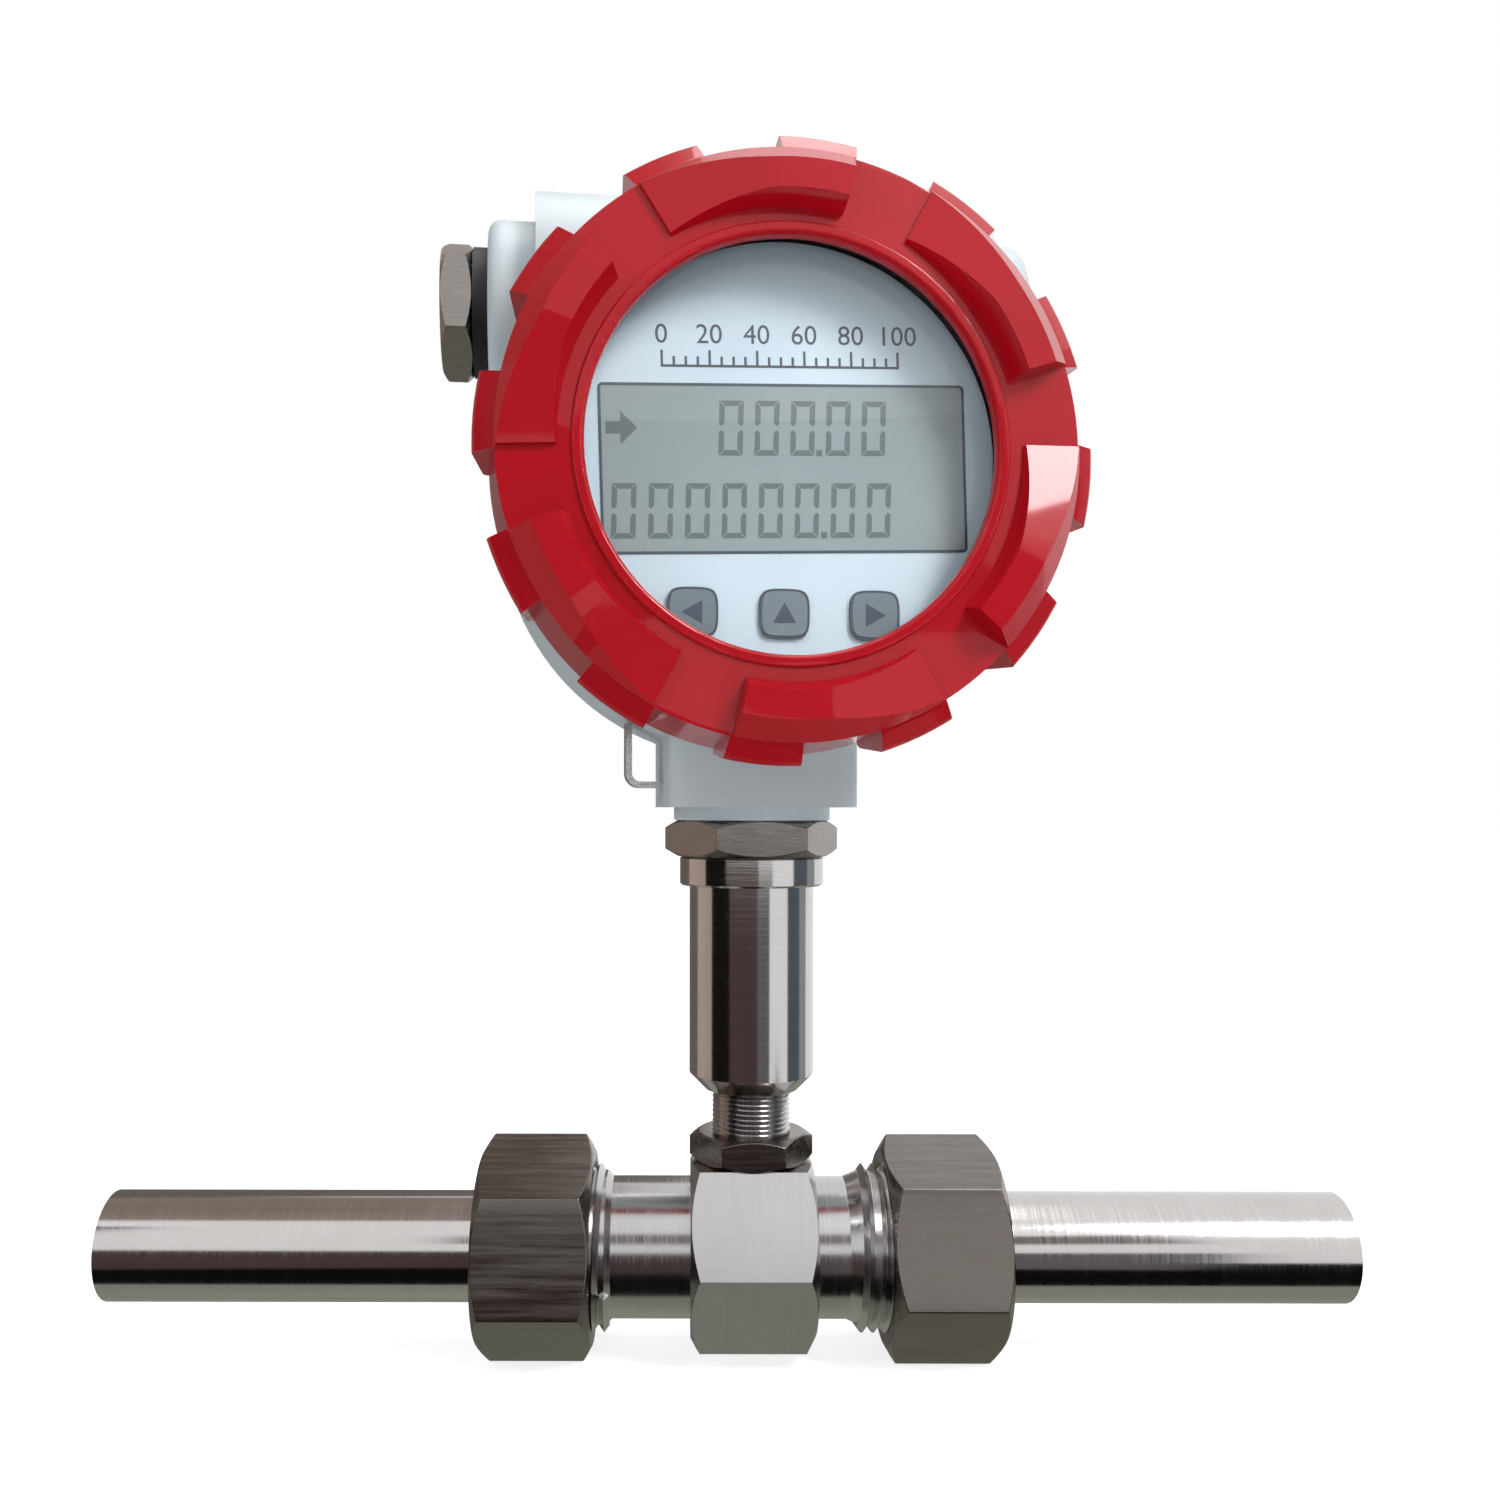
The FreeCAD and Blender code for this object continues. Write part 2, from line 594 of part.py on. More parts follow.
turn(rotor, [[
    ("-rotor_half - 1", "0"),
    ("-rotor_half - 1", "shaft_radius + fit_gap / 2"),
    ("rotor_half + 1", "shaft_radius + fit_gap / 2"),
    ("rotor_half + 1", "0"),
]], "H_Axis", kind="Groove")

shaft_half = "(rotor_half + guide_gap + bearing_length - 0.3)"
shaft = new_body("rotor_shaft")
turn(shaft, [[
    (f"-{shaft_half}", "0"),
    (f"-{shaft_half}", "shaft_radius / 2"),
    (f"-{shaft_half} + shaft_radius / 2", "shaft_radius"),
    (f"{shaft_half} - shaft_radius / 2", "shaft_radius"),
    (shaft_half, "shaft_radius / 2"),
    (shaft_half, "0"),
]], "H_Axis")


# ------------------------------------------------------------- union ends

hub_hole = "(pipe_hub_radius + nut_hole_gap)"
for side, end, reach, placement in (
    ("inlet", "inlet_end", "inlet_reach", about_stem),
    ("outlet", "outlet_end", "outlet_reach", FreeCAD.Placement()),
):
    flange_face = f"({end} + gasket_thick)"
    wall_face = f"({flange_face} + flange_thick)"
    nut_end = f"({wall_face} + union_wall)"
    nut_start = f"({nut_end} - union_length)"

    gasket = new_body(side + "_gasket", placement)
    turn(gasket, [[
        (end, "guide_bore_radius + 0.5"),
        (end, "flange_radius"),
        (flange_face, "flange_radius"),
        (flange_face, "guide_bore_radius + 0.5"),
    ]], "H_Axis")

    pipe = new_body(side + "_tail_pipe", placement)
    turn(pipe, [[
        (flange_face, "pipe_bore"),
        (flange_face, "flange_radius"),
        (f"{wall_face} - 0.4", "flange_radius"),
        (wall_face, "flange_radius - 0.4"),
        (wall_face, "pipe_hub_radius"),
        (nut_end, "pipe_hub_radius"),
        (nut_end, "pipe_radius"),
        (reach, "pipe_radius"),
        (reach, "pipe_bore"),
    ]], "H_Axis")

    # the nut turns with its corners where the spanner left them
    corner_up = FreeCAD.Rotation(FreeCAD.Vector(1, 0, 0), 30)
    turn_sign = -1 if side == "inlet" else 1
    spanner = turn_sign * value(side + "_nut_turn")
    left_at = FreeCAD.Rotation(FreeCAD.Vector(1, 0, 0), spanner)
    nut_placement = FreeCAD.Placement(
        FreeCAD.Vector(0, 0, 0), placement.Rotation.multiply(left_at).multiply(corner_up)
    )
    nut = new_body(side + "_union_nut", nut_placement)
    hexagon(new_sketch(nut, "YZ_Plane", lift=nut_start), "union_flats")
    pad(nut, nut.Group[-1], "union_length")
    bevel_hexagon(nut, "union_flats", nut_start, nut_end, axis="H_Axis")
    union_bore = "(pipe_thread_root + thread_gap)"
    turn(nut, [[
        (f"{nut_start} - 1", "0"),
        (f"{nut_start} - 1", f"{union_bore} + 1.4"),
        (nut_start, f"{union_bore} + 1.4"),
        (f"{nut_start} + 1.4", union_bore),
        (wall_face, union_bore),
        (wall_face, hub_hole),
        (f"{nut_end} + 1", hub_hole),
        (f"{nut_end} + 1", "0"),
    ]], "H_Axis", kind="Groove")


# ------------------------------------------------------------------- stem

block_top = "(block_flats / 2)"
sleeve_bore = "(sensor_thread_root - sensor_wall)"

sleeve = new_body("pickup_sleeve")
turn(sleeve, [[
    ("0", "sensor_floor"),
    ("sensor_thread_root - 0.8", "sensor_floor"),
    ("sensor_thread_root", "sensor_floor + 0.8"),
    ("sensor_thread_root", "sensor_top"),
    (sleeve_bore, "sensor_top"),
    (sleeve_bore, "sensor_floor + sensor_wall"),
    ("0", "sensor_floor + sensor_wall"),
]], "V_Axis")

magnet_floor = "(sensor_floor + sensor_wall)"
magnet_top = f"({magnet_floor} + 4)"
coil_top = f"({magnet_top} + 16)"
magnet = new_body("pickup_magnet")
turn(magnet, [[
    ("0", magnet_floor), ("3", magnet_floor), ("3", magnet_top), ("0", magnet_top),
]], "V_Axis")

core = new_body("pickup_core")
turn(core, [[
    ("0", magnet_top), ("1.5", magnet_top), ("1.5", f"{coil_top} + 2"), ("0", f"{coil_top} + 2"),
]], "V_Axis")

coil = new_body("pickup_coil")
coil_radius = f"({sleeve_bore} - fit_gap)"
turn(coil, [[
    ("1.5 + fit_gap", magnet_top),
    (coil_radius, magnet_top),
    (coil_radius, f"{magnet_top} + 1.5"),
    (f"{coil_radius} - 1", f"{magnet_top} + 1.5"),
    (f"{coil_radius} - 1", f"{coil_top} - 1.5"),
    (coil_radius, f"{coil_top} - 1.5"),
    (coil_radius, coil_top),
    ("1.5 + fit_gap", coil_top),
]], "V_Axis")

lock = new_body("stem_lock_nut", FreeCAD.Placement(
    FreeCAD.Vector(0, 0, 0), FreeCAD.Rotation(FreeCAD.Vector(0, 0, 1), 0)
))
hexagon(new_sketch(lock, "XY_Plane", lift=block_top), "lock_flats")
pad(lock, lock.Group[-1], "lock_thick")
bevel_hexagon(lock, "lock_flats", block_top, f"{block_top} + lock_thick")
turn(lock, [[
    ("0", f"{block_top} - 1"),
    (sensor_hole, f"{block_top} - 1"),
    (sensor_hole, f"{block_top} + lock_thick + 1"),
    ("0", f"{block_top} + lock_thick + 1"),
]], "V_Axis", kind="Groove")

tube_bore = "(tube_radius - tube_wall)"
spigot_top = "(collar_top + spigot_height)"
sleeve_seat = "(sensor_thread_root + fit_gap)"
tube = new_body("stem_tube")
turn(tube, [[
    (sleeve_seat, "cone_start"),
    ("sensor_thread_root + 2.2", "cone_start"),
    ("tube_radius", "cone_end"),
    ("tube_radius", "tube_top"),
    ("collar_radius - 0.4", "tube_top"),
    ("collar_radius", "tube_top + 0.4"),
    ("collar_radius", "collar_top - 0.4"),
    ("collar_radius - 0.4", "collar_top"),
    ("spigot_root", "collar_top"),
    ("spigot_root", f"{spigot_top} - 1"),
    ("spigot_root - 1", spigot_top),
    ("wire_bore", spigot_top),
    ("wire_bore", "tube_top + 1"),
    (tube_bore, "tube_top + 1"),
    (tube_bore, "sensor_top"),
    (sleeve_seat, "sensor_top"),
]], "V_Axis")

amplifier = new_body("amplifier_board")
amplifier_half = f"(sqrt({tube_bore} ^ 2 - (board_thick / 2) ^ 2) - fit_gap)"
amplifier_sketch = new_sketch(amplifier, "XZ_Plane")
box_outline(
    amplifier_sketch, f"-{amplifier_half}", "sensor_top + fit_gap",
    amplifier_half, "tube_top - 2",
)
pad(amplifier, amplifier_sketch, "board_thick", both_ways=True)

cap_top = "(collar_top + cap_thick)"
spigot_hole = "(spigot_root + thread_gap)"
cap = new_body("head_lock_nut", FreeCAD.Placement(
    FreeCAD.Vector(0, 0, 0), FreeCAD.Rotation(FreeCAD.Vector(0, 0, 1), value("cap_turn"))
))
hexagon(new_sketch(cap, "XY_Plane", lift="collar_top"), "cap_flats")
pad(cap, cap.Group[-1], "cap_thick")
bevel_hexagon(cap, "cap_flats", "collar_top", cap_top)
turn(cap, [[
    ("0", "collar_top - 1"),
    (spigot_hole, "collar_top - 1"),
    (spigot_hole, f"{cap_top} + 1"),
    ("0", f"{cap_top} + 1"),
]], "V_Axis", kind="Groove")


# ----------------------------------------------------------- head housing
# From here pieces are drawn in the head's own frame: x right, y up, z forward.

cap_level = f"({cap_top} - head_height)"
neck_bottom = f"({cap_level} + neck_collar_high)"
chamber_floor = "(-shell_back + back_wall)"
cover_bore = "(cover_thread_root + thread_gap)"
thread_back = "(seat_front - cover_thread_length - 1)"
seal_land = f"(seat_front - cover_seal_set - 3 * cover_seal_radius)"

def along_barrel(edge):
    """The rims at the two ends of the cable bosses."""
    box = edge.BoundBox
    flat = box.XLength < 0.01 and abs(abs(box.XMin) - value("boss_half")) < 0.01
    return flat and abs(box.YLength - 2 * value("boss_radius")) < 0.1


def rear_rim(edge):
    box = edge.BoundBox
    return box.ZLength < 0.01 and abs(box.ZMin + value("shell_back")) < 0.01


housing = new_body("head_housing", face_frame)
shell = new_sketch(housing, "XY_Plane", lift="-shell_back")
circle(shell, "shell_radius")
pad(housing, shell, "shell_back + seat_front")
round_edges(housing, "shell_round", rear_rim)
boss = new_sketch(housing, "YZ_Plane")
circle(boss, "boss_radius", across="barrel_rise")
pad(housing, boss, "2 * boss_half", both_ways=True)
round_edges(housing, "boss_round", along_barrel)
barrel = new_sketch(housing, "YZ_Plane")
circle(barrel, "barrel_radius", across="barrel_rise")
pad(housing, barrel, "2 * barrel_half", both_ways=True)
neck = new_sketch(housing, "XZ_Plane", lift=f"-{neck_bottom}")
rounded_outline(
    neck, "-neck_block_half", "-neck_block_half", "neck_block_half", "neck_block_half",
    "neck_block_round",
)
pad(housing, neck, f"-{neck_bottom} - chamber_radius + 6", backwards=True)
neck_ring = new_sketch(housing, "XZ_Plane", lift=f"-{cap_level}")
circle(neck_ring, "neck_collar_radius")
pad(housing, neck_ring, "neck_collar_high + 1", backwards=True)

turn(housing, [[
    ("0", chamber_floor),
    ("chamber_radius", chamber_floor),
    ("chamber_radius", thread_back),
    (cover_bore, thread_back),
    (cover_bore, seal_land),
    (f"{cover_bore} + seal_bore_step", seal_land),
    (f"{cover_bore} + seal_bore_step", "seat_front + 1"),
    ("0", "seat_front + 1"),
]], "V_Axis", kind="Groove")
stem_hole = new_sketch(housing, "XZ_Plane", lift=f"-{cap_level}")
circle(stem_hole, spigot_hole)
pad(housing, stem_hole, f"-{cap_level} - chamber_radius + 6", kind="Pocket")
for inward in (False, True):
    sign = "-" if inward else ""
    entry = new_sketch(housing, "YZ_Plane", lift=f"{sign}boss_half")
    circle(entry, "entry_root", across="barrel_rise")
    pad(housing, entry, "entry_length", kind="Pocket", backwards=inward)
    relief = new_sketch(housing, "YZ_Plane", lift=f"{sign}(boss_half - entry_length)")
    circle(relief, "entry_root + entry_relief", across="barrel_rise")
    pad(housing, relief, "boss_half - entry_length - 18", kind="Pocket", backwards=inward)

eye = new_body("tag_loop", face_frame)
eye_bottom = f"({neck_bottom} + eye_drop)"
eye_inner = "(eye_reach - eye_strip)"
eye_top = f"(-sqrt(shell_radius ^ 2 - {eye_inner} ^ 2))"
eye_sketch = new_sketch(eye, "XY_Plane")
outline(eye_sketch, [
    ("-neck_block_half", eye_bottom),
    ("-eye_reach", eye_bottom),
    ("-eye_reach", eye_top),
    (f"-{eye_inner}", eye_top),
    (f"-{eye_inner}", f"{eye_bottom} + eye_strip"),
    ("-neck_block_half", f"{eye_bottom} + eye_strip"),
])
pad(eye, eye_sketch, "eye_width", both_ways=True)


def eye_corner(reach, level):
    def test(edge):
        box = edge.BoundBox
        upright = box.XLength < 0.01 and box.YLength < 0.01
        return upright and abs(box.XMin + value(reach)) < 0.01 and abs(box.YMin - value(level)) < 0.01
    return test


round_edges(eye, "eye_bend", eye_corner("eye_reach", eye_bottom))
round_edges(eye, "eye_bend - eye_strip", eye_corner(eye_inner, f"{eye_bottom} + eye_strip"))


# ----------------------------------------------------------- conduit plug
# Drawn along its own axis: z outwards from the boss face, a corner of the hexagon up.

outwards = FreeCAD.Rotation(
    FreeCAD.Vector(0, 1, 0), FreeCAD.Vector(0, 0, -1), FreeCAD.Vector(-1, 0, 0), "ZXY"
)
plug_frame = face_frame.multiply(
    FreeCAD.Placement(FreeCAD.Vector(-value("boss_half"), value("barrel_rise"), 0), outwards)
)
seal = new_body("conduit_plug_seal", plug_frame)
turn(seal, [[
    ("entry_root + 0.2", "0"),
    ("seal_radius", "0"),
    ("seal_radius", "seal_thick"),
    ("entry_root + 0.2", "seal_thick"),
]], "V_Axis")

plug = new_body("conduit_plug", plug_frame)
hexagon(new_sketch(plug, "XY_Plane", lift="seal_thick"), "plug_flats")
pad(plug, plug.Group[-1], "plug_head")
bevel_hexagon(plug, "plug_flats", "seal_thick", "seal_thick + plug_head")
shank = "(entry_root - thread_gap)"
turn(plug, [[
    ("0", "-plug_engage + plug_socket"),
    ("entry_root - 3", "-plug_engage + plug_socket"),
    ("entry_root - 3", "-plug_engage"),
    (f"{shank} - 1", "-plug_engage"),
    (shank, "-plug_engage + 1"),
    (shank, "seal_thick + 1"),
    ("0", "seal_thick + 1"),
]], "V_Axis")


# ------------------------------------------------------------ front cover
# Drawn with the middle of one lug, and of the notch in it, on +x.

lug_middle = "(lug_trail - lug_span / 2)"
cover_turned = FreeCAD.Placement(
    FreeCAD.Vector(0, 0, 0),
    FreeCAD.Rotation(FreeCAD.Vector(0, 0, 1), value(f"90 + {lug_middle}")),
)
cover_frame = face_frame.multiply(cover_turned)
lip_back = "(lip_front - lip_thick)"
glass_bore = "(glass_radius + 0.1)"
clamp_back = f"({lip_back} - window_gasket_thick - glass_thick - clamp_length)"
seal_centre = "(seat_front - cover_seal_set)"
seal_ring = f"({cover_bore} + seal_bore_step - thread_gap - cover_seal_radius)"
groove_floor = f"({seal_ring} - cover_seal_radius - fit_gap)"
groove_half = "(cover_seal_radius + 0.1)"
spigot_end = "(seat_front - cover_thread_length)"
rim_front = "(base_front - rim_front_drop)"

cover = new_body("front_cover", cover_frame)
turn(cover, [[
    ("window_radius", lip_back),
    ("window_radius", "lip_front"),
    ("lip_radius", "lip_front"),
    ("lip_radius", "base_front"),
    ("rim_front_radius", rim_front),
    ("tooth_shoulder_radius", "tooth_shoulder"),
    ("tooth_radius", "seat_front + 1"),
    ("tooth_radius - 0.6", "seat_front"),
    ("cover_thread_root", "seat_front"),
    ("cover_thread_root", f"{seal_centre} + {groove_half}"),
    (groove_floor, f"{seal_centre} + {groove_half}"),
    (groove_floor, f"{seal_centre} - {groove_half}"),
    ("cover_thread_root", f"{seal_centre} - {groove_half}"),
    ("cover_thread_root", f"{spigot_end} + 1"),
    ("cover_thread_root - 1", spigot_end),
    (f"{glass_bore} + 1.5", spigot_end),
    (f"{glass_bore} + 1.5", f"{clamp_back} - 0.5"),
    (glass_bore, f"{clamp_back} - 0.5"),
    (glass_bore, lip_back),
]], "V_Axis")


def hoop(radius, level):
    """Test for a full circle of this radius round the axis at this level."""
    def test(edge):
        box = edge.BoundBox
        level_edge = box.ZLength < 0.01 and abs(box.ZMin - value(level)) < 0.01
        return level_edge and abs(box.XLength - 2 * value(radius)) < 0.05
    return test


round_edges(cover, "0.9", hoop("window_radius", "lip_front"))
round_edges(cover, "0.55", hoop("lip_radius", "lip_front"))
round_edges(cover, "2", hoop("rim_front_radius", rim_front))
round_edges(cover, "2", hoop("tooth_shoulder_radius", "tooth_shoulder"))

notch = turn(cover, [[
    ("rim_front_radius - 0.3", "base_front + 2"),
    ("tooth_shoulder_radius + 3", "base_front + 2"),
    ("tooth_shoulder_radius + 3", "seat_front - 1"),
    ("notch_radius", "seat_front - 1"),
]], "V_Axis", kind="Groove", angle="notch_angle")
ring_of(cover, [notch], "Z_Axis", 12)

lug = turn(cover, [[
    ("lug_foot_inner", "base_front - 2"),
    ("lug_foot_inner", "base_front - 0.3"),
    ("lug_land_inner", "lug_front"),
    ("lug_land_outer", "lug_front"),
    ("rim_front_radius - 0.1", f"{rim_front} + 0.6"),
    ("rim_front_radius - 0.1", "base_front - 2"),
]], "V_Axis", angle="lug_span")
fold = f"(-(lug_land_inner + lug_land_outer) / 2 * sin(({lug_middle} - lug_fold) * 1 deg))"
ramp_end = "(rim_front_radius * sin(lug_span / 2 * 1 deg))"
ramp_sketch = new_sketch(cover, "YZ_Plane", lift="lug_foot_inner * cos(lug_span / 2 * 1 deg) - 0.6")
outline(ramp_sketch, [
    (fold, "lug_front"),
    (ramp_end, "base_front"),
    (f"{ramp_end} + 1", "base_front"),
    (f"{ramp_end} + 1", "lug_front + 1"),
    (fold, "lug_front + 1"),
])
ramp = pad(cover, ramp_sketch, "rim_front_radius", kind="Pocket", backwards=True)
ring_of(cover, [lug, ramp], "Z_Axis", 6)

window_gasket = new_body("window_gasket", face_frame)
glass_front = f"({lip_back} - window_gasket_thick)"
turn(window_gasket, [[
    ("gasket_inner", glass_front),
    ("glass_radius", glass_front),
    ("glass_radius", lip_back),
    ("gasket_inner", lip_back),
]], "V_Axis")

glass = new_body("window_glass", face_frame)
glass_back = f"({glass_front} - glass_thick)"
turn(glass, [[
    ("0", glass_back),
    ("glass_radius", glass_back),
    ("glass_radius", glass_front),
    ("0", glass_front),
]], "V_Axis")

clamp = new_body("glass_clamp_ring", face_frame)
turn(clamp, [[
    ("clamp_inner", clamp_back),
    ("glass_radius", clamp_back),
    ("glass_radius", glass_back),
    ("clamp_inner", glass_back),
]], "V_Axis")
slot_sketch = new_sketch(clamp, "XZ_Plane")
box_outline(slot_sketch, "-1.5", f"{clamp_back} - 1", "1.5", f"{clamp_back} + 1.5")
cut_through(clamp, slot_sketch)

cover_ring = primitive(
    "Torus", "cover_o_ring", {"Radius1": seal_ring, "Radius2": "cover_seal_radius"},
    face_frame.multiply(FreeCAD.Placement(spot(up=seal_centre), FreeCAD.Rotation())),
)
nodes.append(cover_ring)


# ------------------------------------------------- display inside the head

panel_back = "(panel_front - panel_thick)"
board_back = "(board_front - board_thick)"
screen_left = "(screen_side - screen_width / 2)"
screen_right = "(screen_side + screen_width / 2)"
screen_low = "(-screen_drop - screen_high / 2)"
screen_top = "(-screen_drop + screen_high / 2)"
KEYS = (("left_key", "key_side - key_pitch"), ("middle_key", "key_side"),
        ("right_key", "key_side + key_pitch"))

panel = new_body("display_panel", face_frame)
panel_sketch = new_sketch(panel, "XY_Plane", lift=panel_back)
circle(panel_sketch, "panel_radius")
box_outline(panel_sketch, screen_left, screen_low, screen_right, screen_top)
pad(panel, panel_sketch, "panel_thick")
holes = new_sketch(panel, "XY_Plane")
for name, middle in KEYS:
    box_outline(
        holes, f"{middle} - key_size / 2 - key_gap", "-key_drop - key_high / 2 - key_gap",
        f"{middle} + key_size / 2 + key_gap", "-key_drop + key_high / 2 + key_gap",
    )
cut_through(panel, holes)

screen = new_body("lcd_panel", face_frame)
screen_sketch = new_sketch(screen, "XY_Plane", lift=f"{panel_back} + 0.1")
box_outline(
    screen_sketch, f"{screen_left} + screen_gap", f"{screen_low} + screen_gap",
    f"{screen_right} - screen_gap", f"{screen_top} - screen_gap",
)
pad(screen, screen_sketch, "panel_thick - screen_set - 0.1")

light = new_body("lcd_backlight", face_frame)
light_sketch = new_sketch(light, "XY_Plane", lift="board_front")
box_outline(
    light_sketch, f"{screen_left} + 3", f"{screen_low} + 1.5",
    f"{screen_right} - 3", f"{screen_top} - 1.5",
)
pad(light, light_sketch, f"{panel_back} + 0.1 - board_front")

board = new_body("display_board", face_frame)
board_sketch = new_sketch(board, "XY_Plane", lift=board_back)
circle(board_sketch, "board_radius")
pad(board, board_sketch, "board_thick")

switches = []
key_front = "(panel_front + key_proud)"
pin_end = "(board_front + 0.8)"
for name, middle in KEYS:
    square = primitive("Box", name + "_square", {
        "Length": "key_size", "Width": "key_high", "Height": f"{key_front} - key_back",
    }, FreeCAD.Placement(
        spot(f"{middle} - key_size / 2", "-key_drop - key_high / 2", "key_back"),
        FreeCAD.Rotation(),
    ))
    disc = primitive("Cylinder", name + "_disc", {
        "Radius": "key_round", "Height": f"{key_front} - key_back",
    }, FreeCAD.Placement(spot(middle, "-key_drop", "key_back"), FreeCAD.Rotation()))
    button = doc.addObject("Part::Common", name + "_cap")
    button.Base = square
    button.Tool = disc
    pin = primitive("Cylinder", name + "_pin", {
        "Radius": "key_pin_radius", "Height": f"key_back - {pin_end} + 1",
    }, FreeCAD.Placement(spot(middle, "-key_drop", pin_end), FreeCAD.Rotation()))
    key = doc.addObject("Part::Fuse", name)
    key.Base = button
    key.Tool = pin
    key.Placement = face_frame
    nodes.append(key)

    block = primitive("Box", name + "_switch", {
        "Length": "switch_size", "Width": "switch_size", "Height": "switch_high",
    }, FreeCAD.Placement(
        spot(f"{middle} - switch_size / 2", "-key_drop - switch_size / 2", "board_front"),
        FreeCAD.Rotation(),
    ))
    well = primitive("Cylinder", name + "_well", {
        "Radius": "key_pin_radius + fit_gap", "Height": "switch_high + 1",
    }, FreeCAD.Placement(spot(middle, "-key_drop", "board_front + 0.3"), FreeCAD.Rotation()))
    switch = doc.addObject("Part::Cut", name + "_switch_body")
    switch.Base = block
    switch.Tool = well
    switches.append(switch)


def group_of(label, members):
    """Identical pieces that share one node."""
    group = doc.addObject("Part::Compound", label)
    group.Links = members
    group.Placement = face_frame
    nodes.append(group)
    return group


group_of("key_switches", switches)

carrier = new_body("display_carrier", face_frame)
turn(carrier, [[
    ("10", "carrier_back"),
    ("panel_radius", "carrier_back"),
    ("panel_radius", panel_back),
    ("panel_radius - carrier_wall", panel_back),
    ("panel_radius - carrier_wall", board_back),
    ("board_radius - carrier_ledge", board_back),
    ("board_radius - carrier_ledge", "carrier_back + carrier_floor"),
    ("10", "carrier_back + carrier_floor"),
]], "V_Axis")

lower_front = "(-lower_board_back + board_thick)"
lower = new_body("terminal_board", face_frame)
lower_sketch = new_sketch(lower, "XY_Plane", lift="-lower_board_back")
circle(lower_sketch, "lower_board_radius")
pad(lower, lower_sketch, "board_thick")

for label, start, stop in (
    ("rear_pillars", chamber_floor, "-lower_board_back"),
    ("front_pillars", lower_front, "carrier_back"),
):
    pillars = []
    for step in range(3):
        angle = 90 + 120 * step
        pillars.append(primitive("Cylinder", f"{label}_{step + 1}", {
            "Radius": "post_radius", "Height": f"{stop} - {start}",
        }, FreeCAD.Placement(
            spot(f"post_circle * cos({angle} deg)", f"post_circle * sin({angle} deg)", start),
            FreeCAD.Rotation(),
        )))
    group_of(label, pillars)

cell_reach = "(cell_radius + holder_gap)"
cell_half = "(cell_length / 2 + holder_gap)"
holder = new_body("battery_holder", face_frame)
holder_sketch = new_sketch(holder, "XY_Plane", lift=lower_front)
box_outline(
    holder_sketch, f"-{cell_half} - holder_wall", f"-cell_drop - {cell_reach} - holder_wall",
    f"{cell_half} + holder_wall", f"-cell_drop + {cell_reach} + holder_wall",
)
pad(holder, holder_sketch, "holder_wall + fit_gap + cell_radius")
cavity = new_sketch(holder, "XY_Plane", lift=f"{lower_front} + holder_wall")
box_outline(
    cavity, f"-{cell_half}", f"-cell_drop - {cell_reach}",
    cell_half, f"-cell_drop + {cell_reach}",
)
pad(holder, cavity, "cell_radius + 1", kind="Pocket", backwards=True)

lying = FreeCAD.Rotation(FreeCAD.Vector(0, 1, 0), 90)
cell_level = f"({lower_front} + holder_wall + fit_gap + cell_radius)"
cell = primitive(
    "Cylinder", "battery_cell", {"Radius": "cell_radius", "Height": "cell_length"},
    face_frame.multiply(
        FreeCAD.Placement(spot("-cell_length / 2", "-cell_drop", cell_level), lying)
    ),
)
nodes.append(cell)

terminal = new_body("terminal_block", face_frame)
terminal_sketch = new_sketch(terminal, "XY_Plane", lift=lower_front)
box_outline(
    terminal_sketch, "-terminal_wide / 2", "terminal_rise - terminal_deep / 2",
    "terminal_wide / 2", "terminal_rise + terminal_deep / 2",
)
pad(terminal, terminal_sketch, "terminal_high")
ways = new_sketch(terminal, "XY_Plane", lift=f"{lower_front} + terminal_high")
for step in (-2, -1, 0, 1, 2):
    circle(ways, "terminal_wide / 15", across=f"terminal_wide * {step} / 5.5", up="terminal_rise")
pad(terminal, ways, "terminal_high / 2", kind="Pocket")


# ---------------------------------------------------------- check and write

doc.recompute()
for item in doc.Objects:
    if "Invalid" in item.State or "Error" in item.State:
        raise RuntimeError(f"{item.Name} failed: {item.State}")
os.makedirs("parts", exist_ok=True)
for node in nodes:
    shape = node.Shape
    if shape.isNull() or not shape.isValid() or not shape.Solids:
        raise RuntimeError(f"{node.Label} has no sound shape")
    shape.exportStep(f"parts/{node.Label}.step")
    print(f"{node.Label}: {len(shape.Solids)} solid(s), {shape.Volume / 1000:.3f} cm3")
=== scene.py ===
# %% [markdown]
# # A turbine flow meter, dressed for a studio picture
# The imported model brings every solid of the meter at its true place, in metres: the body, the stem, the
# head and what is inside them. This lesson keeps those solids as the frame, gives each one a finish, and
# rebuilds the pieces whose surface a machinist or a caster would recognise at a glance.

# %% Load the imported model
import json
import math

import bmesh
import bpy
from mathutils import Matrix, Vector


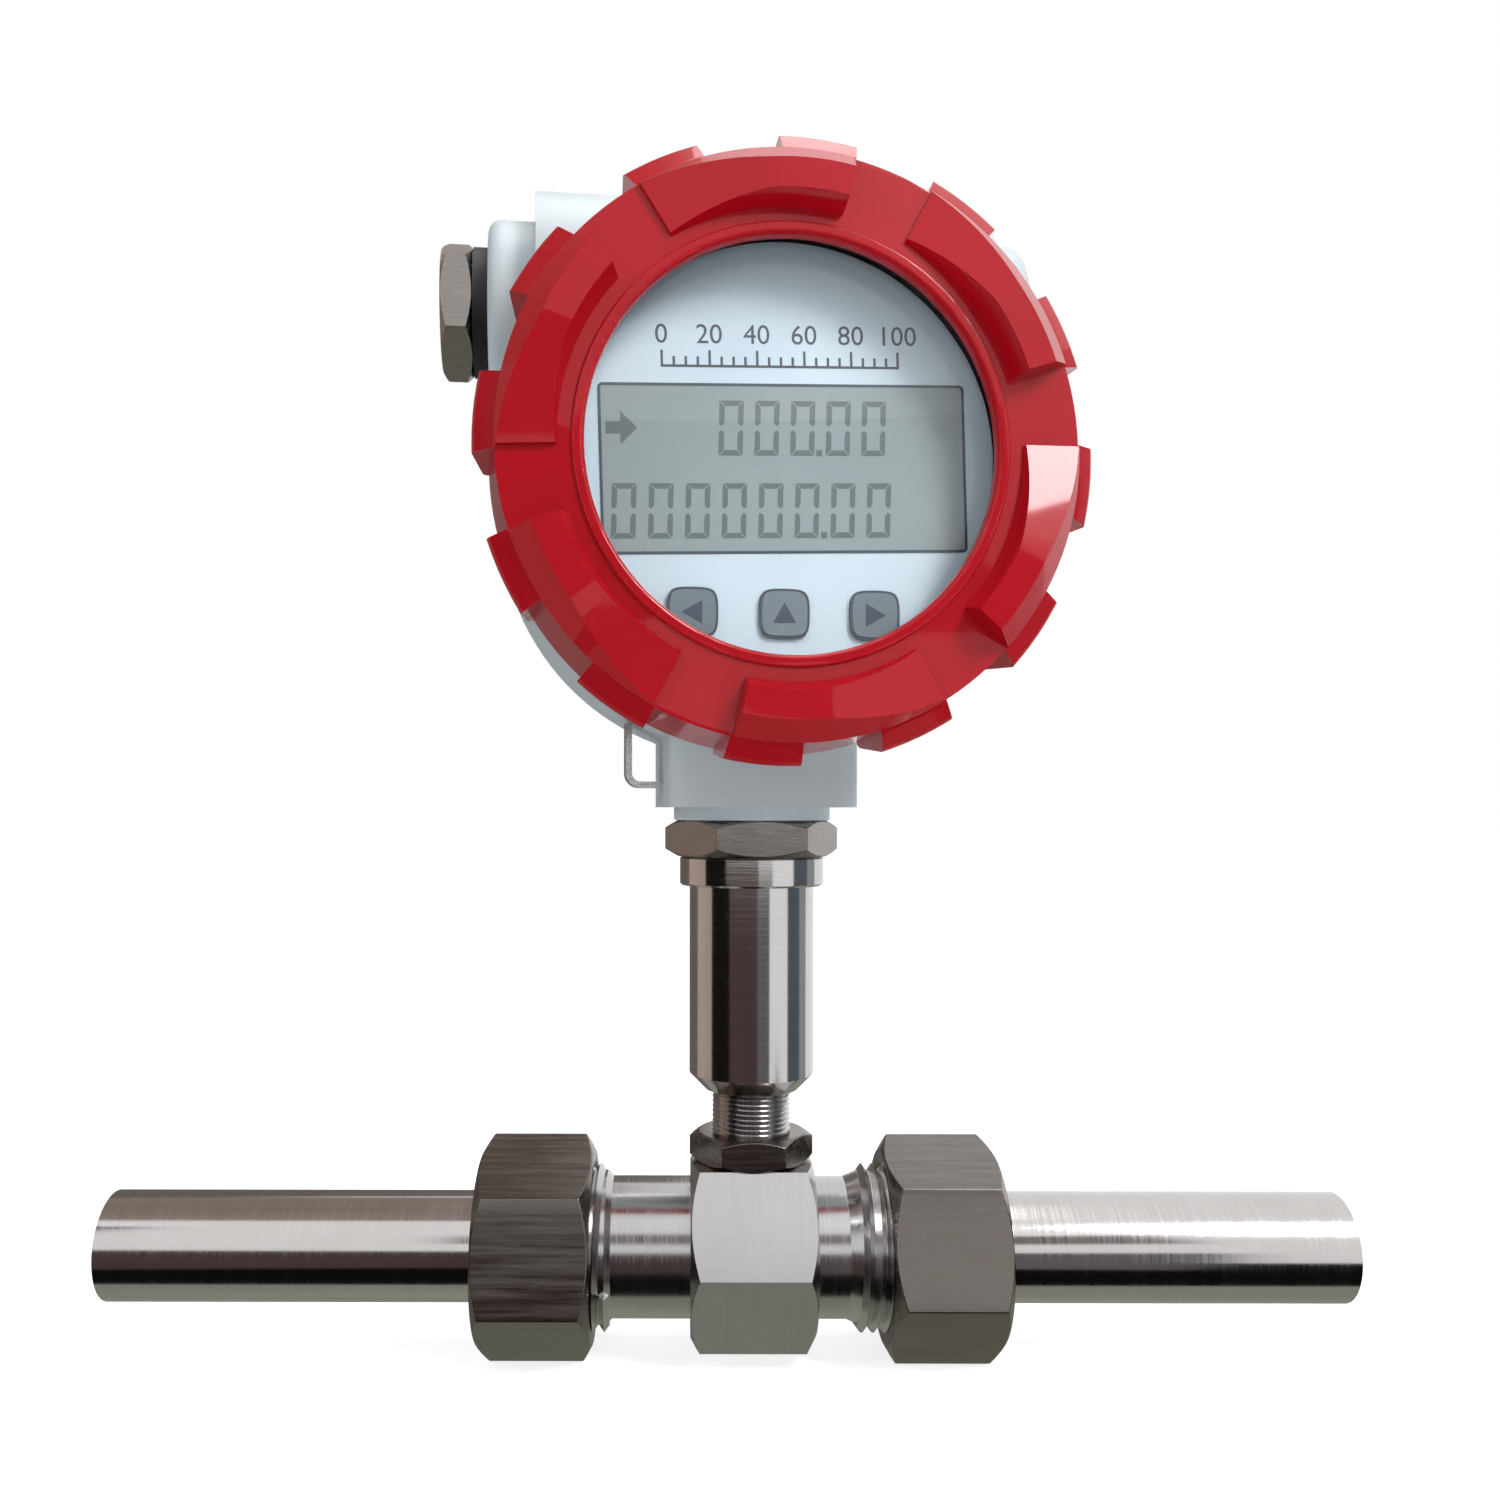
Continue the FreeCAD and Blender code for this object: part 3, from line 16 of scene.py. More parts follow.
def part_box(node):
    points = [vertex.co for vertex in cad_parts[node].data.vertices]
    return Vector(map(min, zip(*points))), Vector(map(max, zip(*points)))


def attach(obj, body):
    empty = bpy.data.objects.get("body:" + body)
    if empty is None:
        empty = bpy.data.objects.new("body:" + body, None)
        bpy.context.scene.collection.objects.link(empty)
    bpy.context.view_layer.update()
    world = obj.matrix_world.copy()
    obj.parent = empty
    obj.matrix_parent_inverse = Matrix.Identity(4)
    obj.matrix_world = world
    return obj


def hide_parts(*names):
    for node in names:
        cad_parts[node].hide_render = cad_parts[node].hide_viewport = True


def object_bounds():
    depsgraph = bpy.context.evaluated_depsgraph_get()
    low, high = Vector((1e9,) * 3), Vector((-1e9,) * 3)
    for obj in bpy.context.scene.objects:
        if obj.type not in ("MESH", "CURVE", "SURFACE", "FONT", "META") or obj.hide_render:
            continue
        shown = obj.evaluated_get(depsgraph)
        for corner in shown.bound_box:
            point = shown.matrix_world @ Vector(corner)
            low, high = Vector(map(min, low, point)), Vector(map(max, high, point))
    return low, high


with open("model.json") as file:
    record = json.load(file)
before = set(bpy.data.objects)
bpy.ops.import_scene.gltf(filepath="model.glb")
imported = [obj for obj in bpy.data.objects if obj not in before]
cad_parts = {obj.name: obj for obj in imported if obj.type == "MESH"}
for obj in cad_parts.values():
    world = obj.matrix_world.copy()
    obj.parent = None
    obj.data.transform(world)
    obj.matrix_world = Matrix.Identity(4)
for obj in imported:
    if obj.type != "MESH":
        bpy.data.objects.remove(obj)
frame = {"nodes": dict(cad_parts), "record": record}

cad_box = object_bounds()
joints = {joint["name"]: joint for joint in frame["record"]["behaviour"]["joints"]}

# %% [markdown]
# The display head is turned a little about the stem. Its own frame has x to the right, y up and z towards
# the reader, so a dial or a key can be drawn as on paper and then carried to the head by one matrix.

# %% The frame of the head
outward = Vector(joints["cover_travel"]["axis"])
head_middle = Vector((0, 0, joints["cover_turn"]["pos_m"][2]))
head_turn = math.atan2(outward.x, -outward.y)
head_frame = (
    Matrix.Translation(head_middle)
    @ Matrix.Rotation(head_turn, 4, "Z")
    @ Matrix.Rotation(math.radians(90), 4, "X")
)
print("head turned by", round(math.degrees(head_turn), 2), "degrees")


def head_box(node):
    """Lowest and highest corner of a node in the head's own frame."""
    back = head_frame.inverted()
    spots = [back @ vertex.co for vertex in frame["nodes"][node].data.vertices]
    low = Vector([min(spot[i] for spot in spots) for i in range(3)])
    high = Vector([max(spot[i] for spot in spots) for i in range(3)])
    return low, high


# %% [markdown]
# ## Effects that several finishes share
# A node group is a small machine with named inputs. Each one here puts out a mask, a colour or a height and
# leaves the shader to the material, so the same grain can serve paint, steel and plastic.

# %% A helper that wires node groups
def new_group(name, inputs, outputs):
    group = bpy.data.node_groups.new(name, "ShaderNodeTree")
    for label, kind, value in inputs:
        socket = group.interface.new_socket(label, in_out="INPUT", socket_type=kind)
        socket.default_value = value
    for label, kind in outputs:
        group.interface.new_socket(label, in_out="OUTPUT", socket_type=kind)
    return group, group.nodes.new("NodeGroupInput"), group.nodes.new("NodeGroupOutput")


def put(tree, kind, **settings):
    """Add a node and set its properties, or its inputs where the key is an input's name."""
    node = tree.nodes.new(kind)
    for key, value in settings.items():
        label = key.replace("_", " ")
        if label in node.inputs:
            node.inputs[label].default_value = value
        elif key in node.inputs:
            node.inputs[key].default_value = value
        else:
            setattr(node, key, value)
    return node


def join(tree, start, end):
    tree.links.new(start, end)


# %% [markdown]
# Sprayed enamel is never quite flat: it ripples finely and its tone drifts a little. Two noise textures of
# different sizes give both. A painted picture could do it too, but noise has no seam and no end.


# %% Paint skin: the faint waviness of sprayed or baked coats
def make_paint_skin():
    group, given, result = new_group(
        "paint_skin",
        [("Size", "NodeSocketFloat", 900.0), ("Blotch", "NodeSocketFloat", 60.0)],
        [("Height", "NodeSocketFloat"), ("Shade", "NodeSocketFloat")],
    )
    place = put(group, "ShaderNodeTexCoord")
    ripple = put(group, "ShaderNodeTexNoise", Detail=2.0, Roughness=0.4)
    cloud = put(group, "ShaderNodeTexNoise", Detail=3.0, Roughness=0.5)
    join(group, place.outputs["Object"], ripple.inputs["Vector"])
    join(group, place.outputs["Object"], cloud.inputs["Vector"])
    join(group, given.outputs["Size"], ripple.inputs["Scale"])
    join(group, given.outputs["Blotch"], cloud.inputs["Scale"])
    join(group, ripple.outputs["Fac"], result.inputs["Height"])
    join(group, cloud.outputs["Fac"], result.inputs["Shade"])
    return group


paint_skin = make_paint_skin()
print("group:", paint_skin.name)


# %% [markdown]
# A lathe, a mill or a belt leaves fine lines that all run one way. Noise that is squeezed along one axis
# turns into such lines; how much, and along which axis, is an input, so one group serves every tool.


# %% Tool marks: fine lines left by a lathe, a mill or a polishing belt
def make_tool_marks():
    group, given, result = new_group(
        "tool_marks",
        [("Stretch", "NodeSocketVector", (4000.0, 60.0, 60.0)), ("Stain", "NodeSocketFloat", 90.0)],
        [("Height", "NodeSocketFloat"), ("Line", "NodeSocketFloat"), ("Stain", "NodeSocketFloat")],
    )
    place = put(group, "ShaderNodeTexCoord")
    stretch = put(group, "ShaderNodeVectorMath", operation="MULTIPLY")
    lines = put(group, "ShaderNodeTexNoise", Scale=1.0, Detail=3.0, Roughness=0.6)
    stain = put(group, "ShaderNodeTexNoise", Detail=4.0, Roughness=0.6)
    sharpen = put(group, "ShaderNodeMapRange")
    sharpen.inputs["From Min"].default_value = 0.35
    sharpen.inputs["From Max"].default_value = 0.65
    join(group, place.outputs["Object"], stretch.inputs[0])
    join(group, given.outputs["Stretch"], stretch.inputs[1])
    join(group, stretch.outputs["Vector"], lines.inputs["Vector"])
    join(group, place.outputs["Object"], stain.inputs["Vector"])
    join(group, given.outputs["Stain"], stain.inputs["Scale"])
    join(group, lines.outputs["Fac"], sharpen.inputs["Value"])
    join(group, lines.outputs["Fac"], result.inputs["Height"])
    join(group, sharpen.outputs["Result"], result.inputs["Line"])
    join(group, stain.outputs["Fac"], result.inputs["Stain"])
    return group


tool_marks = make_tool_marks()
print("group:", tool_marks.name)

# %% [markdown]
# ## Finishes
# A finish is a colour that wanders a little between two tones, a roughness that does the same, and a bump
# that catches the light. The plain sockets are set once; the groups above vary the rest.


# %% One builder for painted and moulded surfaces
def coated(name, dark, light, rough, bump=0.02, coat=0.0, size=900.0, blotch=60.0, shine=0.5):
    finish = bpy.data.materials.new(name)
    finish.use_nodes = True
    tree = finish.node_tree
    shader = tree.nodes["Principled BSDF"]
    shader.inputs["Specular IOR Level"].default_value = shine
    shader.inputs["Coat Weight"].default_value = coat
    shader.inputs["Coat Roughness"].default_value = 0.04
    skin = put(tree, "ShaderNodeGroup")
    skin.node_tree = paint_skin
    skin.inputs["Size"].default_value = size
    skin.inputs["Blotch"].default_value = blotch
    tones = put(tree, "ShaderNodeMix", data_type="RGBA")
    tones.inputs[6].default_value = (*dark, 1)
    tones.inputs[7].default_value = (*light, 1)
    gloss = put(tree, "ShaderNodeMapRange")
    gloss.inputs["To Min"].default_value = rough * 0.85
    gloss.inputs["To Max"].default_value = rough * 1.15
    relief = put(tree, "ShaderNodeBump", Strength=bump, Distance=0.001)
    join(tree, skin.outputs["Shade"], tones.inputs[0])
    join(tree, tones.outputs[2], shader.inputs["Base Color"])
    join(tree, skin.outputs["Shade"], gloss.inputs["Value"])
    join(tree, gloss.outputs["Result"], shader.inputs["Roughness"])
    join(tree, skin.outputs["Height"], relief.inputs["Height"])
    join(tree, relief.outputs["Normal"], shader.inputs["Normal"])
    return finish


# %% [markdown]
# Bare metal has little colour of its own: its look is its roughness and what stands round it. Lines and
# stains steer tone and gloss together here, as handling does on a real pipe.


# %% One builder for bare metal
def bare_metal(name, dark, light, rough, stretch, bump=0.03, line=0.5, stain_size=90.0):
    finish = bpy.data.materials.new(name)
    finish.use_nodes = True
    tree = finish.node_tree
    shader = tree.nodes["Principled BSDF"]
    shader.inputs["Metallic"].default_value = 1.0
    marks = put(tree, "ShaderNodeGroup")
    marks.node_tree = tool_marks
    marks.inputs["Stretch"].default_value = stretch
    marks.inputs["Stain"].default_value = stain_size
    blend = put(tree, "ShaderNodeMix", data_type="FLOAT")
    blend.inputs[0].default_value = line
    tones = put(tree, "ShaderNodeMix", data_type="RGBA")
    tones.inputs[6].default_value = (*dark, 1)
    tones.inputs[7].default_value = (*light, 1)
    gloss = put(tree, "ShaderNodeMapRange")
    gloss.inputs["To Min"].default_value = rough * 0.75
    gloss.inputs["To Max"].default_value = rough * 1.3
    relief = put(tree, "ShaderNodeBump", Strength=bump, Distance=0.0005)
    join(tree, marks.outputs["Stain"], blend.inputs[2])
    join(tree, marks.outputs["Line"], blend.inputs[3])
    join(tree, blend.outputs[0], tones.inputs[0])
    join(tree, tones.outputs[2], shader.inputs["Base Color"])
    join(tree, marks.outputs["Line"], gloss.inputs["Value"])
    join(tree, gloss.outputs["Result"], shader.inputs["Roughness"])
    join(tree, marks.outputs["Height"], relief.inputs["Height"])
    join(tree, relief.outputs["Normal"], shader.inputs["Normal"])
    return finish


# %% [markdown]
# Each line below is one finish, named for what it is on the meter. Two tones, a roughness and the direction
# of the grain are enough to tell a milled nut from a drawn pipe.

# %% The finishes of this meter
red_coat = coated("red_coat", (0.40, 0.002, 0.008), (0.48, 0.003, 0.012), 0.3, 0.015, coat=0.6, shine=0.1)
pale_coat = coated("pale_coat", (0.52, 0.58, 0.6), (0.6, 0.66, 0.68), 0.42, 0.05)
panel_film = coated("panel_film", (0.5, 0.61, 0.7), (0.58, 0.68, 0.76), 0.35, 0.01)
screen_film = coated("screen_film", (0.22, 0.265, 0.275), (0.27, 0.315, 0.325), 0.3, 0.0, size=200.0)
frame_ink = coated("frame_ink", (0.02, 0.04, 0.065), (0.03, 0.05, 0.08), 0.4, 0.0)
segment_ink = coated("segment_ink", (0.085, 0.115, 0.115), (0.105, 0.135, 0.135), 0.4, 0.0)
print_ink = coated("print_ink", (0.02, 0.03, 0.05), (0.03, 0.04, 0.07), 0.45, 0.0)
key_rubber = coated("key_rubber", (0.11, 0.145, 0.175), (0.15, 0.185, 0.215), 0.4, 0.05)
black_rubber = coated("black_rubber", (0.008, 0.008, 0.009), (0.014, 0.014, 0.015), 0.55, 0.06)
white_moulding = coated("white_moulding", (0.7, 0.7, 0.68), (0.76, 0.76, 0.74), 0.45, 0.03)
black_moulding = coated("black_moulding", (0.012, 0.012, 0.014), (0.02, 0.02, 0.022), 0.45, 0.05)
green_moulding = coated("green_moulding", (0.02, 0.18, 0.06), (0.03, 0.22, 0.08), 0.4, 0.03)
board_laminate = coated("board_laminate", (0.01, 0.09, 0.04), (0.015, 0.12, 0.05), 0.35, 0.05)
cell_wrap = coated("cell_wrap", (0.03, 0.12, 0.35), (0.04, 0.14, 0.4), 0.3, 0.0)
fibre = coated("fibre", (0.1, 0.11, 0.1), (0.15, 0.16, 0.15), 0.7, 0.2)
pipe_steel = bare_metal(
    "pipe_steel", (0.56, 0.54, 0.53), (0.66, 0.64, 0.63), 0.14, (2500, 40, 40), 0.01, 0.3
)
turned_steel = bare_metal(
    "turned_steel", (0.5, 0.49, 0.49), (0.62, 0.61, 0.61), 0.2, (5000, 60, 60), 0.02, 0.4
)
nut_steel = bare_metal(
    "nut_steel", (0.16, 0.14, 0.125), (0.25, 0.225, 0.21), 0.24, (50, 900, 900), 0.02, 0.5
)
cap_steel = bare_metal(
    "cap_steel", (0.26, 0.235, 0.22), (0.36, 0.33, 0.31), 0.28, (200, 200, 2500), 0.03, 0.5
)
stem_steel = bare_metal(
    "stem_steel", (0.56, 0.54, 0.53), (0.66, 0.65, 0.64), 0.11, (60, 60, 3500), 0.01, 0.3
)
ground_metal = bare_metal("ground_metal", (0.2, 0.2, 0.21), (0.32, 0.32, 0.33), 0.3, (3000, 80, 80))
spring_steel = bare_metal("spring_steel", (0.5, 0.5, 0.5), (0.62, 0.62, 0.62), 0.25, (300, 300, 2000))
bare_aluminium = bare_metal("bare_aluminium", (0.3, 0.3, 0.31), (0.4, 0.4, 0.41), 0.35, (300, 300, 300))
copper_wire = bare_metal("copper_wire", (0.5, 0.2, 0.1), (0.65, 0.3, 0.15), 0.3, (60, 60, 9000), 0.3)
brass = bare_metal("brass", (0.6, 0.42, 0.14), (0.7, 0.52, 0.2), 0.25, (100, 100, 4000))
print("finishes:", len(bpy.data.materials))


# %% [markdown]
# The window is a thick disc of clear glass. True refraction looks right from every side, but such a pane
# would also shade the panel, so rays that look for a lamp pass straight through it.


# %% Clear glass that lets the light through to the panel
def clear_glass():
    finish = bpy.data.materials.new("clear_glass")
    finish.use_nodes = True
    tree = finish.node_tree
    shader = tree.nodes["Principled BSDF"]
    shader.inputs["Base Color"].default_value = (0.97, 0.985, 0.98, 1)
    shader.inputs["Roughness"].default_value = 0.0
    shader.inputs["IOR"].default_value = 1.45
    shader.inputs["Transmission Weight"].default_value = 1.0
    smear = put(tree, "ShaderNodeTexNoise", Scale=25.0, Detail=2.0)
    place = put(tree, "ShaderNodeTexCoord")
    haze = put(tree, "ShaderNodeMapRange")
    haze.inputs["To Min"].default_value = 0.0
    haze.inputs["To Max"].default_value = 0.02
    clear = put(tree, "ShaderNodeBsdfTransparent")
    ray = put(tree, "ShaderNodeLightPath")
    mix = put(tree, "ShaderNodeMixShader")
    out = tree.nodes["Material Output"]
    join(tree, place.outputs["Object"], smear.inputs["Vector"])
    join(tree, smear.outputs["Fac"], haze.inputs["Value"])
    join(tree, haze.outputs["Result"], shader.inputs["Roughness"])
    join(tree, ray.outputs["Is Shadow Ray"], mix.inputs[0])
    join(tree, shader.outputs[0], mix.inputs[1])
    join(tree, clear.outputs[0], mix.inputs[2])
    join(tree, mix.outputs[0], out.inputs["Surface"])
    return finish


window_clear = clear_glass()
print("glass:", window_clear.name)

# %% [markdown]
# ## Every solid gets its finish
# The solids that stay as they are only need the right material. The table pairs each node with one.

# %% Paint the solids
FINISH_OF = {
    "meter_body": turned_steel, "inlet_flow_guide": turned_steel, "outlet_flow_guide": turned_steel,
    "inlet_bearing": ground_metal, "outlet_bearing": ground_metal,
    "inlet_retaining_ring": spring_steel, "outlet_retaining_ring": spring_steel,
    "rotor": turned_steel, "rotor_shaft": ground_metal,
    "inlet_gasket": fibre, "outlet_gasket": fibre,
    "inlet_tail_pipe": pipe_steel, "outlet_tail_pipe": pipe_steel,
    "inlet_union_nut": nut_steel, "outlet_union_nut": nut_steel,
    "pickup_sleeve": turned_steel, "pickup_magnet": ground_metal, "pickup_core": ground_metal,
    "pickup_coil": copper_wire, "stem_lock_nut": nut_steel, "stem_tube": stem_steel,
    "amplifier_board": board_laminate, "head_lock_nut": cap_steel,
    "head_housing": pale_coat, "tag_loop": spring_steel,
    "conduit_plug_seal": black_rubber, "conduit_plug": cap_steel,
    "front_cover": red_coat, "window_gasket": black_rubber, "window_glass": window_clear,
    "glass_clamp_ring": bare_aluminium, "cover_o_ring": black_rubber,
    "display_panel": panel_film, "lcd_panel": screen_film, "lcd_backlight": white_moulding,
    "display_board": board_laminate, "left_key": key_rubber, "middle_key": key_rubber,
    "right_key": key_rubber, "key_switches": black_moulding, "display_carrier": white_moulding,
    "terminal_board": board_laminate, "rear_pillars": brass, "front_pillars": brass,
    "battery_holder": black_moulding, "battery_cell": cell_wrap, "terminal_block": green_moulding,
}
for node, finish in FINISH_OF.items():
    solid = frame["nodes"][node]
    solid.data.materials.clear()
    solid.data.materials.append(finish)
print("painted", len(FINISH_OF), "solids")


# %% [markdown]
# ## Making pieces
# A dressed piece is a mesh at its real place, on an object that stays at the origin. It rides on one body,
# and it may stand for a solid, which then leaves the scene. One helper does all of this for every piece.


# %% Helpers that finish and seat a piece
def new_piece(name, mesh, finish, body, stands_for=()):
    mesh.materials.clear()
    mesh.materials.append(finish)
    piece = bpy.data.objects.new(name, mesh)
    bpy.context.scene.collection.objects.link(piece)
    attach(piece, body)
    if stands_for:
        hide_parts(*stands_for)
    return piece


def smooth(mesh, angle=30):
    for face in mesh.polygons:
        face.use_smooth = True
    mesh.set_sharp_from_angle(angle=math.radians(angle))
    return mesh


along_x = Matrix.Rotation(math.radians(90), 4, "Y")

# %% [markdown]
# No real edge is perfectly sharp: a small round on it catches a line of light. A bevel modifier makes the
# round, and weighted normals let the large faces stay flat in the shading. A bump would only pretend to.


# %% Finish a mesh with small bevels and weighted normals
def eased(mesh, width, segments=2, angle=28):
    """Round the sharp edges of a mesh and let the large faces rule the shading."""
    blank = bpy.data.objects.new("blank", mesh)
    bpy.context.scene.collection.objects.link(blank)
    edge = blank.modifiers.new("edge", "BEVEL")
    edge.width = width
    edge.segments = segments
    edge.limit_method = "ANGLE"
    edge.angle_limit = math.radians(angle)
    edge.use_clamp_overlap = True
    weight = blank.modifiers.new("weight", "WEIGHTED_NORMAL")
    weight.keep_sharp = True
    weight.weight = 100
    for face in mesh.polygons:
        face.use_smooth = True
    tree = bpy.context.evaluated_depsgraph_get()
    result = bpy.data.meshes.new_from_object(blank.evaluated_get(tree))
    bpy.data.objects.remove(blank)
    return result


# %% [markdown]
# A bought-in nut is a hexagonal bar whose ends are turned to a cone, which leaves an arc on every flat. The
# same arc comes out here when each spoke of the section stops where the cone meets the hexagon.


# %% A hexagonal nut along the local z axis
def hex_nut(name, flats, length, bores, place, turn=0.0, facing=0.98, spokes=12, slope=30):
    """Face circle is facing times the flats; bores are (along, radius) steps from the far end back."""
    half = flats / 2
    face_radius = half * facing
    verts = []
    faces = []
    count = 6 * spokes
    for step in range(count):
        angle = 2 * math.pi * step / count
        sector = (angle % math.radians(60)) - math.radians(30)
        radius = half / math.cos(sector)
        cut = max(0.0, (radius - face_radius) * math.tan(math.radians(slope)))
        section = [(0, face_radius), (cut, radius), (length - cut, radius), (length, face_radius)]
        section += list(bores) + [(0, bores[-1][1])]
        for along, out in section:
            spot = Vector((out * math.cos(angle + turn), out * math.sin(angle + turn), along))
            verts.append(place @ spot)
    corners = 5 + len(bores)
    for step in range(count):
        here = step * corners
        there = ((step + 1) % count) * corners
        for i in range(corners):
            j = (i + 1) % corners
            faces.append((here + i, there + i, there + j, here + j))
    mesh = bpy.data.meshes.new(name)
    mesh.from_pydata(verts, [], faces)
    made = bmesh.new()
    made.from_mesh(mesh)
    bmesh.ops.remove_doubles(made, verts=made.verts, dist=1e-6)
    bmesh.ops.recalc_face_normals(made, faces=made.faces)
    made.to_mesh(mesh)
    made.free()
    return eased(mesh, 0.00025)


# %% [markdown]
# A thread is one ridge wound round the metal. Geometry Nodes draws the helix and sweeps a diamond along it:
# the inner half of the diamond is buried, the outer half is the thread that shows.


# %% A thread ridge made by Geometry Nodes
def make_thread_nodes():
    group = bpy.data.node_groups.new("thread_ridge", "GeometryNodeTree")
    for label, value in (("Radius", 0.015), ("Pitch", 0.002), ("Length", 0.01), ("Depth", 0.001)):
        socket = group.interface.new_socket(label, in_out="INPUT", socket_type="NodeSocketFloat")
        socket.default_value = value
    group.interface.new_socket("Geometry", in_out="OUTPUT", socket_type="NodeSocketGeometry")
    given = group.nodes.new("NodeGroupInput")
    result = group.nodes.new("NodeGroupOutput")
    turns = put(group, "ShaderNodeMath", operation="DIVIDE")
    half = put(group, "ShaderNodeMath", operation="MULTIPLY")
    half.inputs[1].default_value = 0.48
    helix = put(group, "GeometryNodeCurveSpiral")
    helix.inputs["Resolution"].default_value = 64
    upright = put(group, "GeometryNodeSetCurveNormal")
    upright.mode = "Z_UP"
    diamond = put(group, "GeometryNodeCurvePrimitiveCircle", mode="RADIUS")
    diamond.inputs["Resolution"].default_value = 4
    diamond.inputs["Radius"].default_value = 1.0
    size = put(group, "ShaderNodeCombineXYZ")
    size.inputs["Z"].default_value = 1.0
    squeeze = put(group, "GeometryNodeTransform")
    sweep = put(group, "GeometryNodeCurveToMesh")
    sweep.inputs["Fill Caps"].default_value = True
    join(group, given.outputs["Length"], turns.inputs[0])
    join(group, given.outputs["Pitch"], turns.inputs[1])
    join(group, turns.outputs[0], helix.inputs["Rotations"])
    join(group, given.outputs["Radius"], helix.inputs["Start Radius"])
    join(group, given.outputs["Radius"], helix.inputs["End Radius"])
    join(group, given.outputs["Length"], helix.inputs["Height"])
    join(group, given.outputs["Pitch"], half.inputs[0])
    join(group, given.outputs["Depth"], size.inputs["X"])
    join(group, half.outputs[0], size.inputs["Y"])
    join(group, helix.outputs["Curve"], upright.inputs["Curve"])
    join(group, diamond.outputs["Curve"], squeeze.inputs["Geometry"])
    join(group, size.outputs["Vector"], squeeze.inputs["Scale"])
    join(group, upright.outputs["Curve"], sweep.inputs["Curve"])
    join(group, squeeze.outputs["Geometry"], sweep.inputs["Profile Curve"])
    join(group, sweep.outputs["Mesh"], result.inputs["Geometry"])
    return group


thread_nodes = make_thread_nodes()
print("group:", thread_nodes.name)


def thread(name, root, major, pitch, length, place):
    """Wind a ridge from the root radius to the major radius and carry it to its place."""
    blank = bpy.data.objects.new("blank", bpy.data.meshes.new("blank"))
    bpy.context.scene.collection.objects.link(blank)
    wind = blank.modifiers.new("wind", "NODES")
    wind.node_group = thread_nodes
    values = {"Radius": root, "Pitch": pitch, "Length": length, "Depth": major - root}
    for item in thread_nodes.interface.items_tree:
        if item.name in values:
            wind[item.identifier] = values[item.name]
    tree = bpy.context.evaluated_depsgraph_get()
    mesh = bpy.data.meshes.new_from_object(blank.evaluated_get(tree))
    bpy.data.objects.remove(blank)
    mesh.name = name
    made = bmesh.new()
    made.from_mesh(mesh)
    bmesh.ops.remove_doubles(made, verts=made.verts, dist=1e-7)
    bmesh.ops.recalc_face_normals(made, faces=made.faces)
    made.to_mesh(mesh)
    made.free()
    mesh.transform(place)
    return smooth(mesh, 40)


# %% [markdown]
# ## The union nuts and the lock nuts
# Four hexagonal pieces share one recipe. Their length and place come from the solids they stand for, and
# the bore is stepped where the nut takes a thread at one end and only a pipe at the other.

# %% Union nuts
UNION_FLATS = 0.039
UNION_WALL = 0.006
MOUTH_RADIUS = 0.0168
MOUTH_DEPTH = 0.0012
THREAD_RADIUS = 0.0156
PIPE_HOLE = 0.0116
for side, turn_degrees in (("inlet", -10.7), ("outlet", -16.3)):
    low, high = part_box(side + "_union_nut")
    length = high[0] - low[0]
    outer_end = low[0] if side == "inlet" else high[0]
    sense = 1 if side == "inlet" else -1
    place = Matrix.Translation((outer_end, 0, 0)) @ Matrix.Rotation(math.radians(90 * sense), 4, "Y")
    turn = math.radians(turn_degrees) * sense
    steps = [
        (length, MOUTH_RADIUS), (length - MOUTH_DEPTH, THREAD_RADIUS),
        (UNION_WALL, THREAD_RADIUS), (UNION_WALL, PIPE_HOLE),
    ]
    nut = hex_nut(side + "_nut_forging", UNION_FLATS, length, steps, place, turn)
    new_piece(side + "_nut_forging", nut, nut_steel, side + "_nut", [side + "_union_nut"])
    print(side, "union nut:", round(1000 * length, 1), "mm long")

# %% [markdown]
# A lock nut jams against its neighbour, so that nothing works loose. The lower one is a thin nut on the
# thread of the pick-up, the upper one clamps the head. Both are plain rings with six flats.

# %% Lock nuts on the stem
LOCK_NUTS = (
    ("stem", 0.022, 0.0076, 0.0, nut_steel),
    ("head", 0.031, 0.0113, 4.6, cap_steel),
)
for side, flats, bore, turn_degrees, finish in LOCK_NUTS:
    low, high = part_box(side + "_lock_nut")
    tall = high[2] - low[2]
    name = side + "_nut_forging"
    place = Matrix.Translation((0, 0, low[2]))
    lock = hex_nut(name, flats, tall, [(tall, bore)], place, math.radians(turn_degrees))
    new_piece(name, lock, finish, "meter", [side + "_lock_nut"])
    print(name, round(1000 * tall, 1), "mm tall")

# %% [markdown]
# ## Threads that show
# Each solid carries its threads as a plain cylinder at the root radius, so the ridge is wound on top.

# %% Wind the threads
PIPE_ROOT = 0.01515
PIPE_MAJOR = 0.0166
PIPE_PITCH = 0.002309
PIPE_LEAD_IN = 0.0012
INLET_RUN = 0.0132
OUTLET_RUN = 0.0155
SLEEVE_ROOT = 0.00736
SLEEVE_MAJOR = 0.008
SLEEVE_PITCH = 0.001
SLEEVE_TUCK = 0.0015


def thread_along_x(name, start, end, body):
    place = Matrix.Translation((start, 0, 0)) @ along_x
    ridge = thread(name, PIPE_ROOT, PIPE_MAJOR, PIPE_PITCH, end - start, place)
    return new_piece(name, ridge, turned_steel, body, ())


